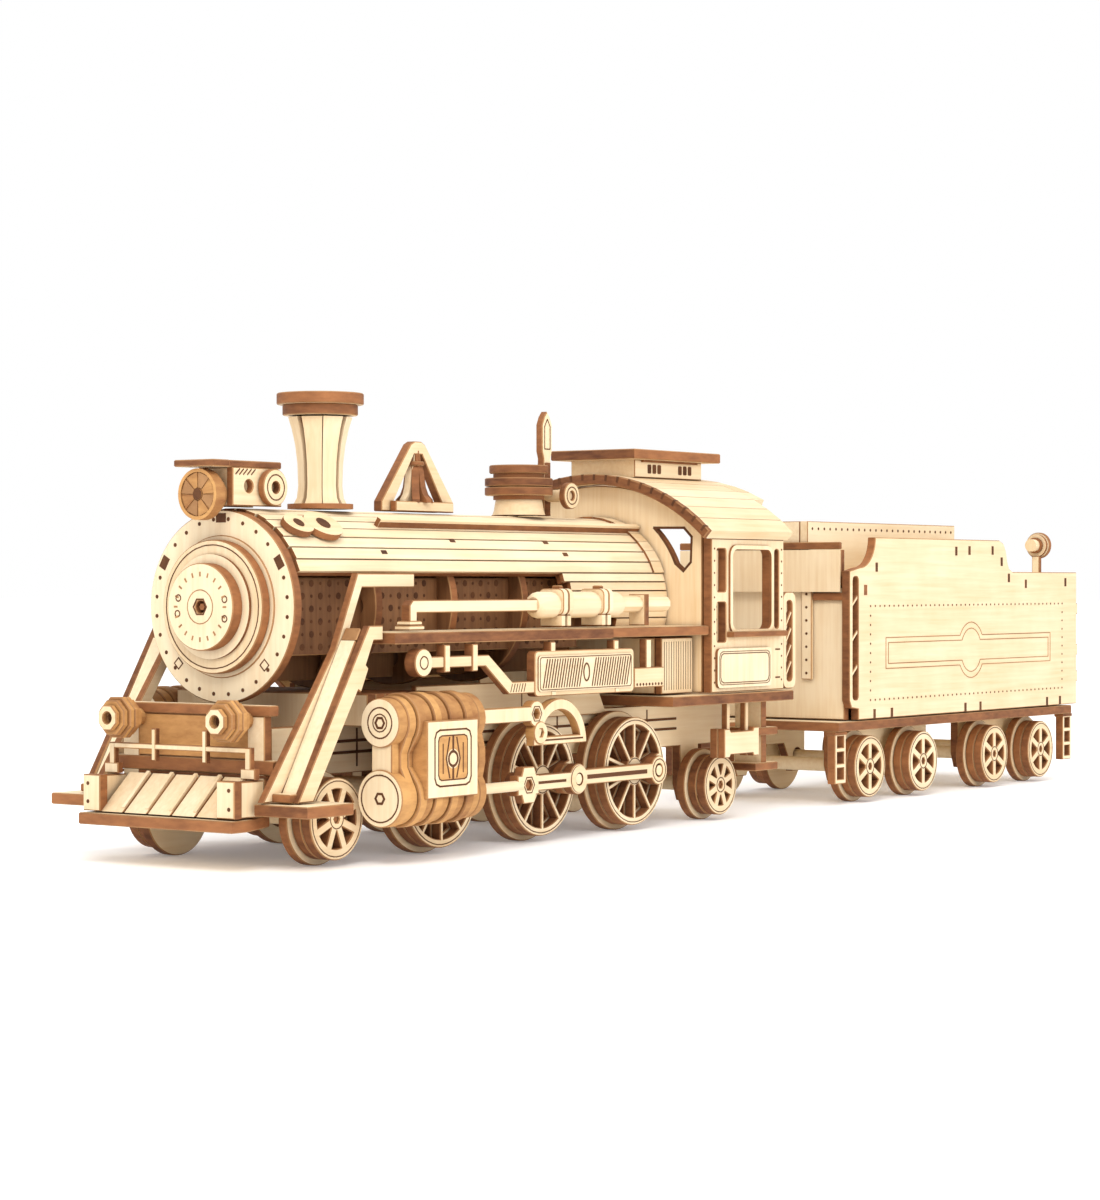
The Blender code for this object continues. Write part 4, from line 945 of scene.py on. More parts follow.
def valve_gear(wood, ink, label, side, s1, z):
    """Fixed valve rod with its eye, and the bow-shaped link over the middle driver."""
    y0 = span_y(Box("crosshead_" + label))[0] + 0.2
    y1 = y0 + PLY
    rod_end = Box("crosshead_" + label).s1 - 1.0
    driver = Box("driver_wheelset_2")
    outline = [(s1 - 0.5, z - 1.35), (rod_end - 1.9, z - 1.35)] + arc((rod_end, z), 2.4, 216, 504, 16)
    outline += [(rod_end - 1.9, z + 1.35), (s1 - 0.5, z + 1.35)]
    wood.plate("y", outline, y0, y1, [circle((rod_end, z), 0.95, 6)], side)
    ink.ring("y", (rod_end, z), 1.5, 6, y1, 0.16, side)
    centre = (driver.s - 4.2, z - 5.8)
    bow = arc(centre, 8.35, 0, 180, 28)
    window = arc(centre, 6.3, 14, 166, 20)
    wood.plate("y", bow, y0 + 0.1, y1 - 0.1, [window], side)
    wood.disc("y", (centre[0] - 6.4, centre[1] + 2.3), 2.1, y0, y1 + 0.2, 20, side,
              [circle((centre[0] - 6.4, centre[1] + 2.3), 0.8, 6)])
    ink.line("y", [(centre[0] - 6, centre[1] + 0.9), (centre[0] + 7, centre[1] + 0.9)], y1 - 0.1, 0.3, side)


def front_brace(label, side):
    b = Box("front_brace_" + label)
    y0, y1 = span_y(b)
    base = b.z0
    wood = Piece(f"front_brace_{label}_ply")
    end = Box("running_board_" + label).s0 - 0.3
    inner = [(4.9, base), (8.5, base), (25.4, 36.4), (30.4, 47.3), (44.8, 47.3), (44.8, 49.7), (29.2, 49.7),
             (23.4, 37.0)]
    outer = [(8.0, base), (11.8, base), (23.5, 30.0), (24.3, 29.6), (26.3, 33.6), (25.6, 34.2), (27.6, 38.3),
             (end, 38.3), (end, 40.8), (26.4, 40.8)]
    web = 1.5
    wood.plate("y", inner, y0, y0 + web, side=side)
    wood.plate("y", outer, y1 - web, y1, side=side)
    slope = [(8.6, base + 0.1), (10.4, base + 0.1), (26.1, 37.6), (24.5, 38.3)]
    wood.plate("y", slope, y0 + web, y1 - web, side=side, looks=(EDGE, FACE))
    back = [(24.6, 38.4), (26.2, 37.7), (27.0, 39.4), (25.8, 40.4)]
    wood.plate("y", back, y0 + web, y1 - web, side=side, looks=(EDGE, SCORCH))
    wood.box(7.0, 9.2, y0 + 0.5, y1 - 1, base, base + 1.4, side)
    wood.finish(LOCO, "pale_ply", ("front_brace_" + label,))


# ---- pilot ----------------------------------------------------------------------------------

def pilot():
    p = Box("pilot_plate")
    half = p.y1
    wood = Piece("pilot_plate_ply")
    wood.plate("z", [(p.s0, -half), (p.s0, half), (4, half), (p.s1, half - 4), (p.s1, 4 - half), (4, -half)],
               p.z0, p.z1)
    wood.finish(LOCO, "edge_ply", ("pilot_plate",))
    d = Box("front_deck")
    wide, notch, clear = d.y1, half + 0.3, 21.7
    wheel_front = p.s1
    wood = Piece("front_deck_ply")
    deck = [(d.s0, -wide), (d.s0, -notch), (9.3, -notch), (9.3, notch), (d.s0, notch), (d.s0, wide),
            (d.s1, wide), (d.s1, clear), (wheel_front, clear), (wheel_front, -clear), (d.s1, -clear),
            (d.s1, -wide)]
    wood.plate("z", deck, d.z0, d.z1)
    wood.finish(LOCO, "edge_ply", ("front_deck",))
    cowcatcher(half)
    buffer_beam(half)


def cowcatcher(half):
    c = Box("cowcatcher")
    base = c.z0
    wood, ink = sheets("cowcatcher")
    width = half - 3.8
    slats = 5
    for i in range(slats):
        y0 = -width + 2 * width * i / slats
        y1 = -width + 2 * width * (i + 1) / slats
        slope = [(c.s0 + 0.4, base), (8.2, base + 6.3), (8.2, base)]
        wood.plate("y", slope, y0 + 0.12, y1 - 0.12, looks=(EDGE, FACE))
        raised = [(c.s0 + 1.0, base + 0.9), (7.6, base + 6.4), (8.0, base + 6.7), (8.4, base + 6.2),
                  (c.s0 + 1.2, base + 0.3)]
        wood.plate("y", raised, y0 + 0.25, y0 + 0.95, looks=PLAIN, chamfer=0)
    for _, side in SIDES:
        wood.box(c.s0, c.s0 + 2.0, half - 4.2, half - 0.2, base, base + 6.2, side, normal="x")
        wood.box(c.s0 + 2.05, 8.6, half - 3.0, half - 0.6, base, base + 6.0, side, normal="y")
        for z in (base + 1.6, base + 4.7):
            ink.dot("x", (side * (half - 1.4), z), c.s0, 0.35, out=-1)
        wood.plate("x", rectangle(half - 2.6, half - 1.3, base + 6.2, 20.7), 6.0, 7.2, side=side)
        wood.plate("x", rectangle(half - 3.5, half - 0.3, base + 6.2, base + 8.0), 5.9, 7.3, side=side)
        wood.plate("x", rectangle(5.3, 6.3, 17.8, 23.3), 6.0, 7.2, side=side)
    wood.plate("x", rectangle(-half + 1.3, half - 1.3, 19.7, 20.7), 6.05, 7.15)
    finish_pair(wood, ink, LOCO, "pale_ply", FACE_Z)


def buffer_beam(half):
    b = Box("buffer_beam")
    wood = Piece("buffer_beam_ply")
    knobs = Piece("buffer_knobs_ply")
    wood.box(9.3, 11.6, -half - 0.75, half + 0.75, 16.0, 18.4)
    wood.box(9.5, 11.4, -half + 1, half - 1, 15.4, 15.9)
    wood.box(9.3, 11.6, -half, half, 25.8, 27.6)
    # Painted shade: the recessed panel behind the beam is made of brown edge wood because it lies in shade.
    knobs.box(9.6, 11.4, -half + 3, half - 3, 18.5, 25.7, normal="x", looks=BROWN)
    for _, side in SIDES:
        wood.box(9.5, 11.4, 12.4, 16.2, b.z0, 25.8, side, normal="x")
        centre = (12.3, 25.1)
        for k, r in enumerate((2.3, 3.2, 3.75, 3.75, 3.2, 2.3)):
            eight = circle(centre, r, 8, 22.5)
            hole = [circle(centre, 1.0, 12)] if k < 2 else []
            knobs.plate("x", eight, 1.45 + k * 1.1, 2.5 + k * 1.1, hole, side, (EDGE if k else FACE, EDGE))
        knobs.turned("x", centre, [(8.0, 1.5), (9.8, 1.5)], 16, side)
        # Painted shade: a black disc set into each knob's hole.
        knobs.turned("x", centre, [(2.9, 0.98), (3.2, 0.98)], 16, side, looks=BLACK)
    wood.finish(LOCO, "pale_ply", ("buffer_beam",))
    knobs.finish(LOCO, "pale_ply", edge=CUT_LIGHT, smooth=10)


# ---- frame ----------------------------------------------------------------------------------

def frame_plates():
    wheels = [Box(n) for n in ("leading_wheelset", "driver_wheelset_1", "driver_wheelset_2",
                               "driver_wheelset_3", "trailing_wheelset")]
    for label, side in SIDES:
        b = Box("frame_" + label)
        y0, y1 = span_y(b)
        bottom = 15.0
        outline = [(b.s1, bottom), (b.s1, b.z1), (b.s0, b.z1), (b.s0, bottom)]
        for w in wheels:
            s, z = w.s, w.z
            outline += [(s - 3.4, bottom), (s - 3.4, z), (s - 2, z - 3.4)]
            outline += [(s + 2, z - 3.4), (s + 3.4, z), (s + 3.4, bottom)]
        wood, ink = sheets(f"frame_{label}")
        wood.plate("y", outline, y0, y1, [circle((w.s, w.z), 1.9, 20) for w in wheels], side)
        pan = [(wheels[1].s + 0.5, b.z1 - 1), (wheels[3].s - 0.5, b.z1 - 1), (wheels[3].s - 4.5, 29.6),
               (wheels[1].s + 0.5, 29.6)]
        wood.plate("y", pan, y1 + 0.1, y1 + 1.3, side=side)
        ink.line("y", [(wheels[2].s + 2, b.z1), (wheels[2].s + 2, 29.2)], y1 + 1.3, 0.25, side)
        for a, c in zip(wheels, wheels[1:]):
            s0, s1 = a.s + 5, c.s - 5
            for z in (20.6, 18.6):
                ink.line("y", [(s0, z), (s1, z)], y1, 0.5, side)
            ink.line("y", [((s0 + s1) / 2, 16.2), ((s0 + s1) / 2, 22.6)], y1, 0.4, side)
        finish_pair(wood, ink, LOCO, "pale_ply")
    f = Box("frame_stretcher")
    wood = Piece("frame_stretcher_ply")
    wood.box(f.s0, f.s1, f.y0, f.y1, f.z0, f.z1)
    # The stretcher's faces get the dark painted-shade wood.
    wood.finish(LOCO, "dark_ply", ("frame_stretcher",), PAINTED_SHADE_FACE)
    c = Box("cylinder_saddle")
    wood = Piece("cylinder_saddle_ply")
    inner = f.y1
    arm_z = wheels[1].z1 + 0.3
    layers = 8
    pitch = (c.s1 - c.s0) / layers
    for i in range(layers):
        s0 = c.s0 + i * pitch
        wood.plate("x", [(-inner, c.z0), (inner, c.z0), (inner, arm_z), (c.y1, arm_z), (c.y1, c.z1),
                         (c.y0, c.z1), (c.y0, arm_z), (-inner, arm_z)], s0, s0 + pitch - 0.12)
    wood.finish(LOCO, "dark_ply", ("cylinder_saddle",), FACE_Z)
    d = Box("drawbar")
    wood = Piece("drawbar_ply")
    top = f.z0 - 0.3
    pin_s = d.s1 - 4.0
    cab = Box("cab_side_left")
    rear = cab.s1 - 7.3
    wood.plate("z", [(d.s0, d.y0), (rear, d.y0), (pin_s, -3), (d.s1, 0), (pin_s, 3), (rear, d.y1),
                     (d.s0, d.y1)], top - PLY, top)
    wood.turned("z", (pin_s, 0), [(top - 0.1, 1.5), (d.z1 - 0.1, 1.5)], 20)
    wood.finish(LOCO, "dark_ply", ("drawbar",))


def firebox():
    b = Box("firebox")
    wood, ink = sheets("firebox")
    wood.box(b.s0, b.s1, b.y0 + 1.6, b.y1 - 1.6, b.z0, b.z1, normal="x")
    for _, side in SIDES:
        wood.box(b.s0 + 0.1, b.s1 - 0.1, b.y1 - 1.5, b.y1, b.z0, b.z1, side, normal="y")
        for k in range(12):
            s = b.s0 + 1.0 + (b.s1 - b.s0 - 2.0) * k / 11
            ink.line("y", [(s, b.z0 + 0.8), (s, b.z1 - 0.8)], b.y1, 0.1, side)
    finish_pair(wood, ink, LOCO, "pale_ply", FACE_Z)


# ---- cab ------------------------------------------------------------------------------------

def cab():
    front = Box("cab_front")
    roof = Box("cab_roof")
    eaves_y, eaves_z, crown = roof.y1, 58.3, roof.z1
    radius = (eaves_y ** 2 + (crown - eaves_z) ** 2) / (2 * (crown - eaves_z))
    centre_z = crown - radius
    cab_front(front, radius, centre_z)
    for label, side in SIDES:
        cab_side(label, side)
    cab_floor()
    cab_roof(roof, radius, centre_z)
    lantern()


def cab_front(b, radius, centre_z):
    inner = b.y1
    under = radius - PLY - 0.3
    top_angle = math.degrees(math.acos(inner / under))
    outline = [(-inner, b.z0), (inner, b.z0)] + arc((0, centre_z), under, top_angle, 180 - top_angle, 40)
    window = [*arc((0, 44.0), 20.3, 23, 48, 8), (20.8, 59.0), (22.6, 57.2), (22.4, 52.2), (20.6, 50.4)]
    windows = [[(side * y, z) for y, z in window] for _, side in SIDES]
    wood, ink = sheets("cab_front")
    wood.plate("x", outline, b.s0, b.s1, windows)
    for window in windows:
        ink.line("x", window, b.s0, 0.5, closed=True, out=-1)
    backhead(wood, ink, b)
    finish_pair(wood, ink, LOCO, "pale_ply", FACE_Z)


def backhead(wood, ink, b):
    """The boiler's back end inside the cab, with its fire door, gauges and two levers."""
    z = 43.0
    s = b.s1
    wood.disc("x", (0, z), 13.5, s + 0.1, s + 1.8, 48)
    wood.plate("x", rounded(-4.6, 4.6, z - 9.5, z - 3, 1.5), s + 1.7, s + 2.6)
    ink.line("x", rounded(-3.6, 3.6, z - 8.6, z - 3.9, 1.0), s + 2.6, 0.25, closed=True)
    for y, height, r in ((-6.5, 5.0, 1.8), (6.5, 5.0, 1.8), (0, 7.5, 2.3), (-10, -3, 1.4), (10, -3, 1.4)):
        wood.disc("x", (y, z + height), r, s + 1.7, s + 2.9, 24)
        ink.ring("x", (y, z + height), r * 0.6, 16, s + 2.9, 0.2)
        ink.dot("x", (y, z + height), s + 2.9, 0.35)
    for _, side in SIDES:
        wood.box(s + 2.0, s + 2.8, 2.8, 3.8, z - 2.0, z + 5.5, side, normal="x")


def cab_side(label, side):
    b = Box("cab_side_" + label)
    y1 = span_y(b)[1] - 1.7
    y0 = y1 - PLY
    base, top = b.z0, b.z1
    s0 = b.s0
    s1 = b.s1 - 5.3
    wood, ink = sheets(f"cab_side_{label}")
    panel = [(s0, base), (s1, base), (s1, top), (s0, top)]
    upper_small = rounded(s0 + 1.9, s0 + 5.3, 46.3, top - 2.0, 0.5, 2)
    lower_small = rounded(s0 + 1.9, s0 + 5.3, 36.3, 44.2, 0.5, 2)
    window = rounded(s0 + 7.1, s1 - 5.4, 38.7, top - 2.0, 1.6, 4)
    slot = rounded(s1 - 3.6, s1 - 1.9, base + 12.5, top - 2.0, 0.6, 2)
    wood.plate("y", panel, y0, y1, [upper_small, lower_small, window, slot], side)
    frame_outer = rounded(s0 + 6.2, s1 - 4.5, 37.9, top - 1.2, 2.2, 4)
    opening = rounded(s0 + 7.2, s1 - 5.5, 38.8, top - 2.1, 1.5, 4)
    wood.plate("y", frame_outer, y1 - 0.05, y1 + 0.45, [opening], side, chamfer=0.05)
    wood.plate("y", rounded(s0 + 1.3, s1 - 5.6, base + 0.9, 35.0, 1.0, 3), y1 - 0.05, y1 + 0.6, (), side)
    ink.line("y", rounded(s0 + 2.4, s1 - 6.7, base + 1.9, 34.0, 1.1, 2), y1 + 0.6, 0.16, side, closed=True)
    ink.line("y", rounded(s0 + 2.0, s1 - 6.3, base + 1.5, 34.4, 1.1, 2), y1 + 0.6, 0.12, side, closed=True)
    for z in (base + 2.5, base + 8.2):
        ink.line("y", [(s1 - 3.2, z), (s1 - 1.6, z)], y1, 0.3, side)
    wood.box(s0 + 5.6, s1 - 1.2, y1 - 1, y1 + 1.7, 37.2, 38.4, side)
    loop = rounded(s1 + 0.2, s1 + 5.3, base, 46.2, 1.6, 5)
    bay = rounded(s1 + 1.6, s1 + 3.9, base + 1.6, 44.4, 0.9, 4)
    wood.plate("y", loop, y0 + 0.3, y1 - 0.3, [bay], side)
    for k in range(4):
        z = base + 3.0 + k * 3.4
        wood.plate("y", [(s1 + 1.4, z), (s1 + 2.0, z - 0.4), (s1 + 4.1, z + 2.4), (s1 + 3.6, z + 2.9)],
                   y0 + 0.5, y1 - 0.5, side=side)
    for s in (s0 + 1.0, s1 - 0.9):
        ink.dots("y", (s, base + 2), (s, top - 2), 12, y1, 0.22, side)
    finish_pair(wood, ink, LOCO, "pale_ply", FACE_Z)


def cab_floor():
    b = Box("cab_floor")
    t = Box("trailing_wheelset")
    half = b.y1
    z = b.z1 - PLY
    wood, ink = sheets("cab_floor")
    wood.box(b.s0, b.s1, -half, half, z, b.z1)
    rear = t.s1 + 0.3
    y = t.y1 + 1.2
    for _, side in SIDES:
        wood.box(rear + 4.4, rear + 6.4, 17, 23.5, 9.7, z, side, normal="x")
        for step in (9.6, 16.8):
            wood.box(rear + 1, rear + 9.6, 16.6, 24.2, step, step + 1.6, side)
        middle = t.s + 0.5
        outline = mirrored([(middle - 6.5, 13.0), (middle - 4.6, 13.0), (middle - 4.2, 13.6),
                            (middle + 4.2, 13.6), (middle + 4.6, 13.0), (middle + 6.5, 13.0)], level=15.9)
        wood.plate("y", outline, y + 1.9, y + 3.6, side=side)
        wood.plate("y", outline, y, y + 1.8, side=side)
        for s in (t.s - 3.6, t.s + 3.4):
            wood.box(s, s + 1.3, y + 1.2, y + 2.5, 18, z, side, normal="y")
    finish_pair(wood, ink, LOCO, "edge_ply")


def cab_roof(b, radius, centre_z):
    """Bent sheet with long slits, a brown front edge with notches, and a longer middle at the back."""
    wood = Piece("cab_roof_ply")
    angle = math.degrees(math.acos(b.y1 / radius))
    strips = 16
    slit = 0.12
    pitch = (180 - 2 * angle) / strips
    for i in range(strips):
        a0, a1 = angle + pitch * i, angle + pitch * (i + 1)
        wood.bent(centre_z, a0, a1, b.s0 + 1.2, b.s1, radius, radius - PLY, taper=slit)
    rim = arc((0, centre_z), radius, angle, 180 - angle, 48)
    rim += arc((0, centre_z), radius - PLY, 180 - angle, angle, 48)
    wood.plate("x", rim, b.s0 + 0.1, b.s0 + 1.3, looks=BROWN)
    teeth = 22
    for i in range(teeth):
        a = angle + (180 - 2 * angle) * (i + 0.5) / teeth
        wood.bent(centre_z, a - 0.35, a + 0.35, b.s0, b.s0 + 1.28, radius, radius - 1.2, BLACK)
    for i in range(3, strips - 3):
        a0, a1 = angle + pitch * i, angle + pitch * (i + 1)
        wood.bent(centre_z, a0, a1, b.s1 - 0.1, b.s1 + 4.3, radius, radius - PLY, taper=slit)
    wood.finish(LOCO, "pale_ply", ("cab_roof",))


def lantern():
    b = Box("roof_lantern")
    wood, ink = sheets("roof_lantern")
    s0, s1 = b.s0 + 3.7, b.s1 - 3.4
    wall_top = b.z1 - PLY
    wood.box(s0, s1, -7.9, 7.9, b.z0 - 0.9, wall_top, normal="y", looks=PLAIN)
    wood.box(b.s0, b.s1, b.y0, b.y1, wall_top, b.z1)
    wood.box(b.s0 + 6, b.s1 - 6, -8.6, 8.6, wall_top - 0.5, wall_top)
    for _, side in SIDES:
        for s in (s0 + 4.6, s0 + 6.4, s0 + 8.2, s1 - 8.9, s1 - 7.1, s1 - 5.3):
            ink.plate("y", rounded(s, s + 1.3, wall_top - 2.7, wall_top - 0.9, 0.25, 2), 7.9,
                      7.9 + INK_HEIGHT, side=side, looks=BLACK, chamfer=0)
    finish_pair(wood, ink, LOCO, "edge_ply")


# ---- tender ---------------------------------------------------------------------------------

def tender():
    tender_frame()
    for label, side in SIDES:
        tender_side(label, side)
    tender_ends()
    coal_bunker()


def tender_frame():
    b = Box("tender_frame")
    side_box = Box("tender_side_left")
    wheels = [Box(f"tender_wheelset_{i + 1}") for i in range(4)]
    z = b.z1 - PLY
    wood, ink = sheets("tender_frame")
    half = b.y1
    start = side_box.s0 - 4.6
    pin_s = b.s0 + 3.4
    hole = circle((pin_s, 0), 1.9, 20)
    floor = [(start, -half), (b.s1 - 2, -half), (b.s1 - 2, half), (start, half), (start, 3.4), (b.s0, 3.4),
             (b.s0, -3.4), (start, -3.4)]
    wood.plate("z", floor, z, b.z1, [hole])
    wood.box(start + 0.3, b.s1 - 3, -half + 0.8, half - 0.8, z, z + 0.4)
    for first in (0, 2):
        a, c = wheels[first], wheels[first + 1]
        axle_z = a.z
        outline = [(a.s - 3.4, z), (a.s - 3.4, axle_z), (a.s - 2, axle_z - 3.4), (a.s + 2, axle_z - 3.4),
                   (a.s + 6, 11), (c.s - 6, 11), (c.s - 2, axle_z - 3.4), (c.s + 2, axle_z - 3.4),
                   (c.s + 3.4, axle_z), (c.s + 3.4, z)]
        for _, side in SIDES:
            wood.plate("y", outline, 11.6, 13.6, [circle((w.s, axle_z), 1.9, 20) for w in (a, c)], side)
    for s in (start + 0.2, b.s1 - 4.6):
        holes = [rectangle(s + 0.9, s + 3.7, low, low + 2.4) for low in (5.8, 9.2, 12.6)]
        for _, side in SIDES:
            wood.plate("y", rectangle(s, s + 4.6, 4.8, z), half - 3, half - 1, holes, side)
            wood.box(s - 0.2, s + 4.8, half - 3.2, half - 0.9, z - 0.9, z, side)
    finish_pair(wood, ink, TENDER, "pale_ply")


def tender_side(label, side):
    b = Box("tender_side_" + label)
    y0, y1 = span_y(b)
    base, high = b.z0, b.z1
    s0, s1 = b.s0, b.s1
    low = 50.6
    rail_end = s0 + 0.647 * (s1 - s0 - 2.8)
    outline = [(s0 + 3.9, base), (s1, base), (s1, low), (rail_end + 6.8, low), (rail_end + 5.0, low + 0.8),
               (rail_end + 4.0, low + 2.6), (rail_end + 3.4, high - 2.6), (rail_end + 2.2, high - 0.8),
               (rail_end, high), (s0 + 11.2, high)]
    outline += arc((s0 + 4.6, high), 6.6, 0, -90, 12)[1:]
    outline += [(s0, low), (s0, base + 4.3), (s0 + 0.9, base + 2.7), (s0 + 3.9, base + 2.3)]
    slot = rounded(s0 + 1.4, s0 + 3.8, base + 4.4, low - 1.2, 0.8, 3)
    wood, ink = sheets(f"tender_side_{label}")
    wood.plate("y", outline, y0, y1, [slot], side)
    for k in range(3):
        z = base + 9 + 7.5 * k
        wood.plate("y", [(s0 + 1.2, z), (s0 + 1.2, z + 1.0), (s0 + 4.0, z + 3.2), (s0 + 4.0, z + 2.2)],
                   y0 + 0.3, y1 - 0.3, side=side)
    z0, z1 = 22.5, 43.0
    e0, e1 = s0 + 9, s1 - 8
    ink.dots("y", (e0, z0), (e1, z0), 46, y1, 0.25, side)
    ink.dots("y", (e0, z1), (e1, z1), 46, y1, 0.25, side)
    for s in (e0, e1):
        ink.dots("y", (s, z0 + 2.1), (s, z1 - 2.1), 9, y1, 0.25, side)
    ornament(ink, (s0 + 15.8, s0 + 96.3), 32.6, s0 + 55.7, y1, side)
    tabs = [(ds, base + 0.05, base + 2.1) for ds in (10.8, 18.5, 52.9, 60.3, 94.7, 101.7)]
    tabs += [(ds, z - 1.0, z + 1.0) for ds, z in ((11.7, 51.5), (48.4, 55.3), (54.8, 55.5), (66.3, 55.6),
                                                  (70.9, 53.0), (74.6, 49.2), (83.4, 47.8), (104.6, 48.2))]
    for ds, bottom, top in tabs:
        ink.box(s0 + ds - 0.5, s0 + ds + 0.5, y1 - 0.1, y1 + INK_HEIGHT, bottom, top, side, normal="y",
                looks=BLACK, chamfer=0)
    wood.box(s0 + 6.2, s0 + 7.4, y1 - 0.1, y1 + 0.1, 45.4, 47.6, side, normal="y", looks=BROWN, chamfer=0)
    for z in (base + 5.5, base + 12, base + 22):
        wood.box(s1 - 0.2, s1 + 1.0, y0 + 0.2, y1 - 0.2, z, z + 2.6, side, normal="y")
    finish_pair(wood, ink, TENDER, "pale_ply")


def ornament(ink, span, z, centre, level, side):
    """A faint double line all round the panel, bowed round a plain disc in the middle."""
    for offset, r in ((3.4, 6.4), (2.3, 5.0)):
        reach = math.degrees(math.asin(offset / r))
        near = math.sqrt(r * r - offset * offset)
        inner = 3.4 - offset
        left, right = span[0] + inner, span[1] - inner
        points = [(left, z + offset), (centre - near, z + offset)]
        points += arc((centre, z), r, 180 - reach, reach, 12)[1:-1]
        points += [(centre + near, z + offset), (right, z + offset), (right, z - offset),
                   (centre + near, z - offset)]
        points += arc((centre, z), r, -reach, reach - 180, 12)[1:-1]
        points += [(centre - near, z - offset), (left, z - offset)]
        ink.line("y", points, level, 0.17, side, closed=True, look=SCORCH)


def tender_ends():
    f = Box("tender_front")
    d = Box("tender_deck")
    wood, ink = sheets("tender_front")
    wood.box(f.s0, f.s1, f.y0, f.y1, f.z0, f.z1, normal="x")
    for _, side in SIDES:
        wood.box(f.s0 - 0.9, f.s0 - 0.05, 13.2, f.y1, 44.2, 45.9, side, looks=BROWN)
    for _, side in SIDES:
        wood.box(f.s0 - 1.0, f.s0 - 0.05, 10.4, 13.0, 27, 47, side, normal="x", looks=PLAIN)
        ink.dots("x", (11.7, 28.4), (11.7, 45.6), 7, f.s0 - 1.0, 0.32, side, out=-1)
    wood.box(d.s0 - 0.35, d.s0 - 0.05, d.y0, d.y1, 46.1, 55.2, normal="x", looks=PLAIN)
    finish_pair(wood, ink, TENDER, "pale_ply", FACE_Z)
    wood = Piece("tender_deck_ply")
    wood.box(d.s0, d.s1, d.y0, d.y1, d.z0, d.z1)
    rail = d.z1
    coal = Box("coal_bunker")
    wood.box(d.s0 - 0.4, d.s0 + 0.5, d.y0, d.y1, 55.3, 56.9, looks=BROWN)
    for _, side in SIDES:
        wood.box(d.s0 + 0.2, d.s0 + 1.8, coal.y1 + 0.4, d.y1, rail, 55.2, side, normal="x")
    for _, side in SIDES:
        wood.box(coal.s1 + 12, coal.s1 + 18, 8, 14, rail, rail + 1.2, side)
    wood.disc("z", (coal.s1 + 15, 0), 5.0, rail, rail + 1.4, 40)
    wood.disc("z", (coal.s1 + 15, 0), 3.6, rail + 1.3, rail + 2.6, 36)
    wood.finish(TENDER, "pale_ply", ("tender_deck",))
    tender_rear()


def tender_rear():
    b = Box("tender_rear")
    wood, ink = sheets("tender_rear")
    side_box = Box("tender_side_left")
    s = side_box.s1 - 2.8 - 2 * PLY
    deck = Box("tender_deck")
    wood.box(s, s + PLY, b.y0, b.y1, b.z0, deck.z1 + 1, normal="x")
    end = b.s1
    base = b.z0
    height = base + 30
    rungs = [rectangle(-3.6, 3.6, base + 2 + 5.4 * i, base + 5.6 + 5.4 * i) for i in range(5)]
    wood.plate("x", rectangle(-5.2, 5.2, base, height), end - PLY, end, rungs)
    for _, side in SIDES:
        for z in (base + 1, height - 4):
            wood.box(s + 1, end - 1, 3.9, 4.9, z, z + 1.6, side, normal="y")
        wood.box(s + 0.3, s + 1.7, 14.0, 16.0, deck.z1, 54.6, side, normal="x")
        centre = (15, 57.2)
        wood.turned("x", centre, [(s - 2.4, 1.5), (s - 0.4, 1.5)], 24, side, looks=PLAIN)
        wood.turned("x", centre, [(s - 0.4, 1.9), (s + 0.5, 1.9)], 28, side, looks=BROWN)
        wood.turned("x", centre, [(s + 0.6, 2.7), (s + 1.4, 2.7)], 28, side)
        wood.disc("x", centre, 3.2, s + 1.45, s + 2.7, 32, side)
        wood.turned("x", centre, [(s + 2.6, 1.3), (s + 2.8, 1.3)], 16, side, looks=BLACK)
        ink.dots("x", (18.6, base + 2), (18.6, deck.z1 - 1), 16, s + PLY, 0.28, side)
    ink.dots("x", (-18, base + 1.5), (18, base + 1.5), 20, s + PLY, 0.28)
    ink.line("x", rounded(-16.5, -7.5, base + 6, base + 26, 1.4), s + PLY, 0.25, closed=True)
    ink.line("x", rounded(7.5, 16.5, base + 6, base + 26, 1.4), s + PLY, 0.25, closed=True)
    finish_pair(wood, ink, TENDER, "pale_ply", FACE_Z)


def coal_bunker():
    b = Box("coal_bunker")
    wood, ink = sheets("coal_bunker")
    base, top = b.z0, b.z1
    wood.box(b.s0, b.s1, b.y0 + PLY, b.y1 - PLY, base, base + 1.2)
    for _, side in SIDES:
        wood.box(b.s0, b.s1, b.y1 - PLY, b.y1, base, top, side, normal="y", looks=PLAIN)
        ink.dots("y", (b.s0 + 2, top - 1.6), (b.s1 - 2, top - 1.6), 26, b.y1, 0.34, side)
    wood.box(b.s0, b.s0 + PLY, b.y0 + PLY, b.y1 - PLY, base, top, normal="x", looks=PLAIN)
    wood.box(b.s1 - PLY, b.s1, b.y0 + PLY, b.y1 - PLY, base, top, normal="x")
    finish_pair(wood, ink, TENDER, "pale_ply")


# ---- studio ---------------------------------------------------------------------------------

def area_light(name, place, target, size, power, colour=(1, 1, 1)):
    data = bpy.data.lights.new(name, "AREA")
    data.shape = "DISK"
    data.size = size
    data.energy = power
    data.color = colour
    lamp = bpy.data.objects.new(name, data)
    lamp.location = place
    lamp.rotation_euler = (Vector(target) - Vector(place)).to_track_quat("-Z", "Y").to_euler()
    bpy.context.scene.collection.objects.link(lamp)


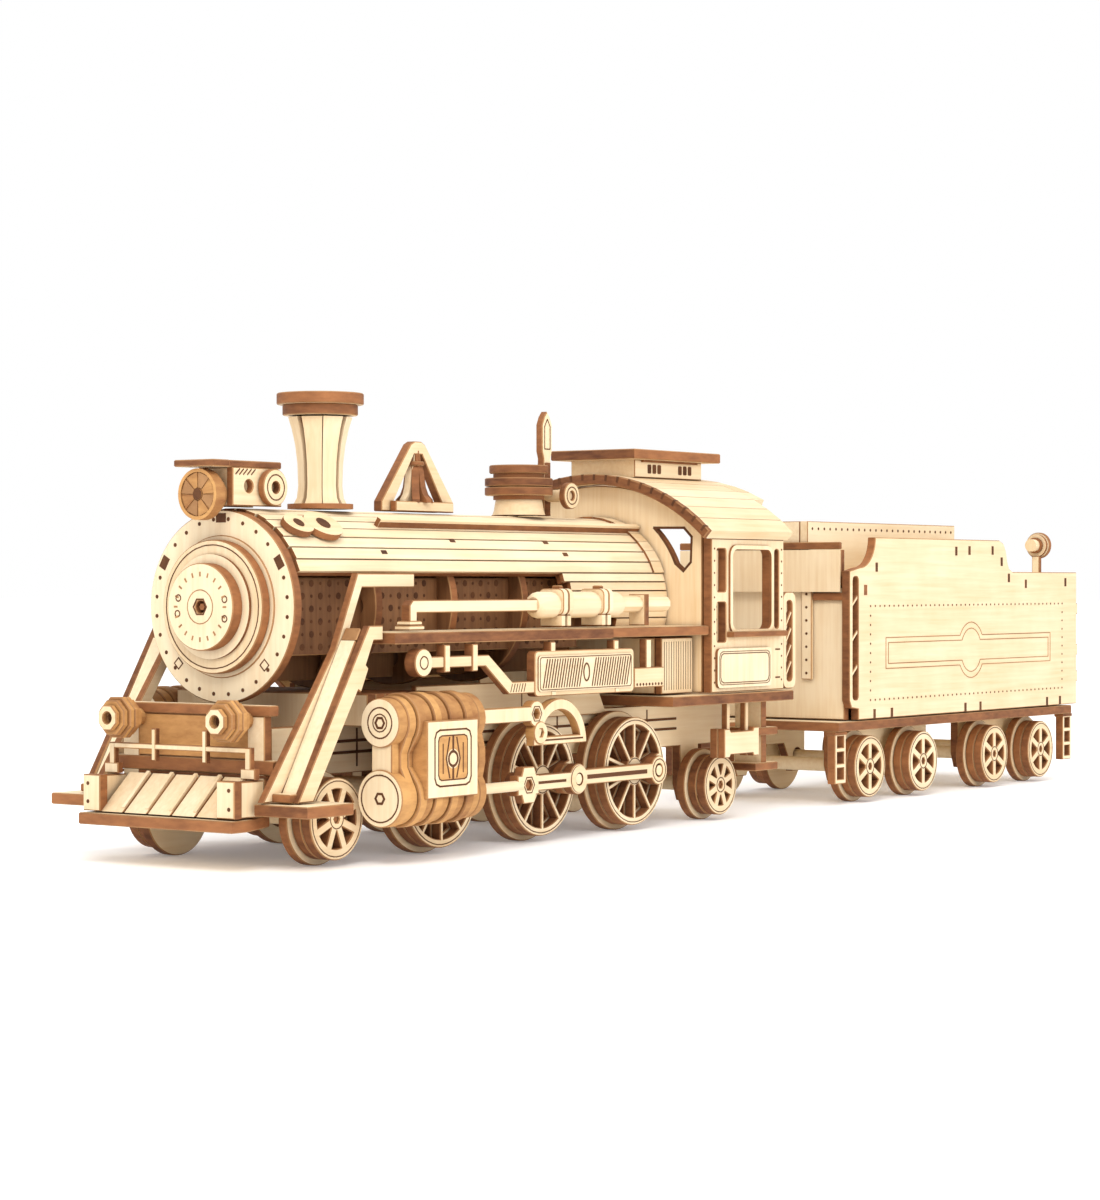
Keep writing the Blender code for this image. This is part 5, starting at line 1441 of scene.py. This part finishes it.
def studio():
    floor_mesh = bpy.data.meshes.new("floor")
    size = 6.0
    corners = [(-size, -size, 0), (size, -size, 0), (size, size, 0), (-size, size, 0)]
    floor_mesh.from_pydata(corners, [], [(0, 1, 2, 3)])
    floor = bpy.data.objects.new("floor", floor_mesh)
    material = bpy.data.materials.new("floor_paper")
    material.use_nodes = True
    inputs = material.node_tree.nodes["Principled BSDF"].inputs
    inputs["Base Color"].default_value = (0.96, 0.955, 0.95, 1)
    inputs["Roughness"].default_value = 0.9
    inputs["Emission Color"].default_value = (1, 1, 1, 1)
    inputs["Emission Strength"].default_value = 0.14
    floor_mesh.materials.append(material)
    bpy.context.scene.collection.objects.link(floor)
    world = bpy.data.worlds.new("studio")
    world.use_nodes = True
    inputs = world.node_tree.nodes["Background"].inputs
    inputs["Color"].default_value = (1, 1, 1, 1)
    inputs["Strength"].default_value = 1.0
    bpy.context.scene.world = world
    bpy.context.scene.view_settings.view_transform = "Standard"
    area_light("key", (-0.75, -0.45, 0.75), (0, 0, 0.03), 0.5, 6.0, (1, 0.985, 0.96))
    area_light("side", (-0.1, -1.0, 0.4), (0, 0, 0.04), 0.6, 2.5)
    area_light("top", (0.15, 0.1, 1.0), (0.03, 0, 0), 0.8, 2)


def camera():
    data = bpy.data.cameras.new("camera")
    data.lens = 88.42
    data.sensor_width = 36.0
    data.clip_start = 0.01
    cam = bpy.data.objects.new("camera", data)
    cam.location = (-0.51432, -0.34266, 0.04825)
    yaw, pitch = math.radians(35.861), math.radians(-0.351)
    direction = Vector((math.cos(yaw) * math.cos(pitch), math.sin(yaw) * math.cos(pitch), math.sin(pitch)))
    cam.rotation_euler = direction.to_track_quat("-Z", "Y").to_euler()
    bpy.context.scene.collection.objects.link(cam)
    bpy.context.scene.camera = cam


camera()
studio()
frame_plates()
pilot()
smokebox()
cladding()
smokebox_side_plates()
chimney()
headlamp()
bell()
dome_and_valve()
for side_label, side_sign in SIDES:
    side_parts(side_label, side_sign)
firebox()
running_gear()
cab()
tender()
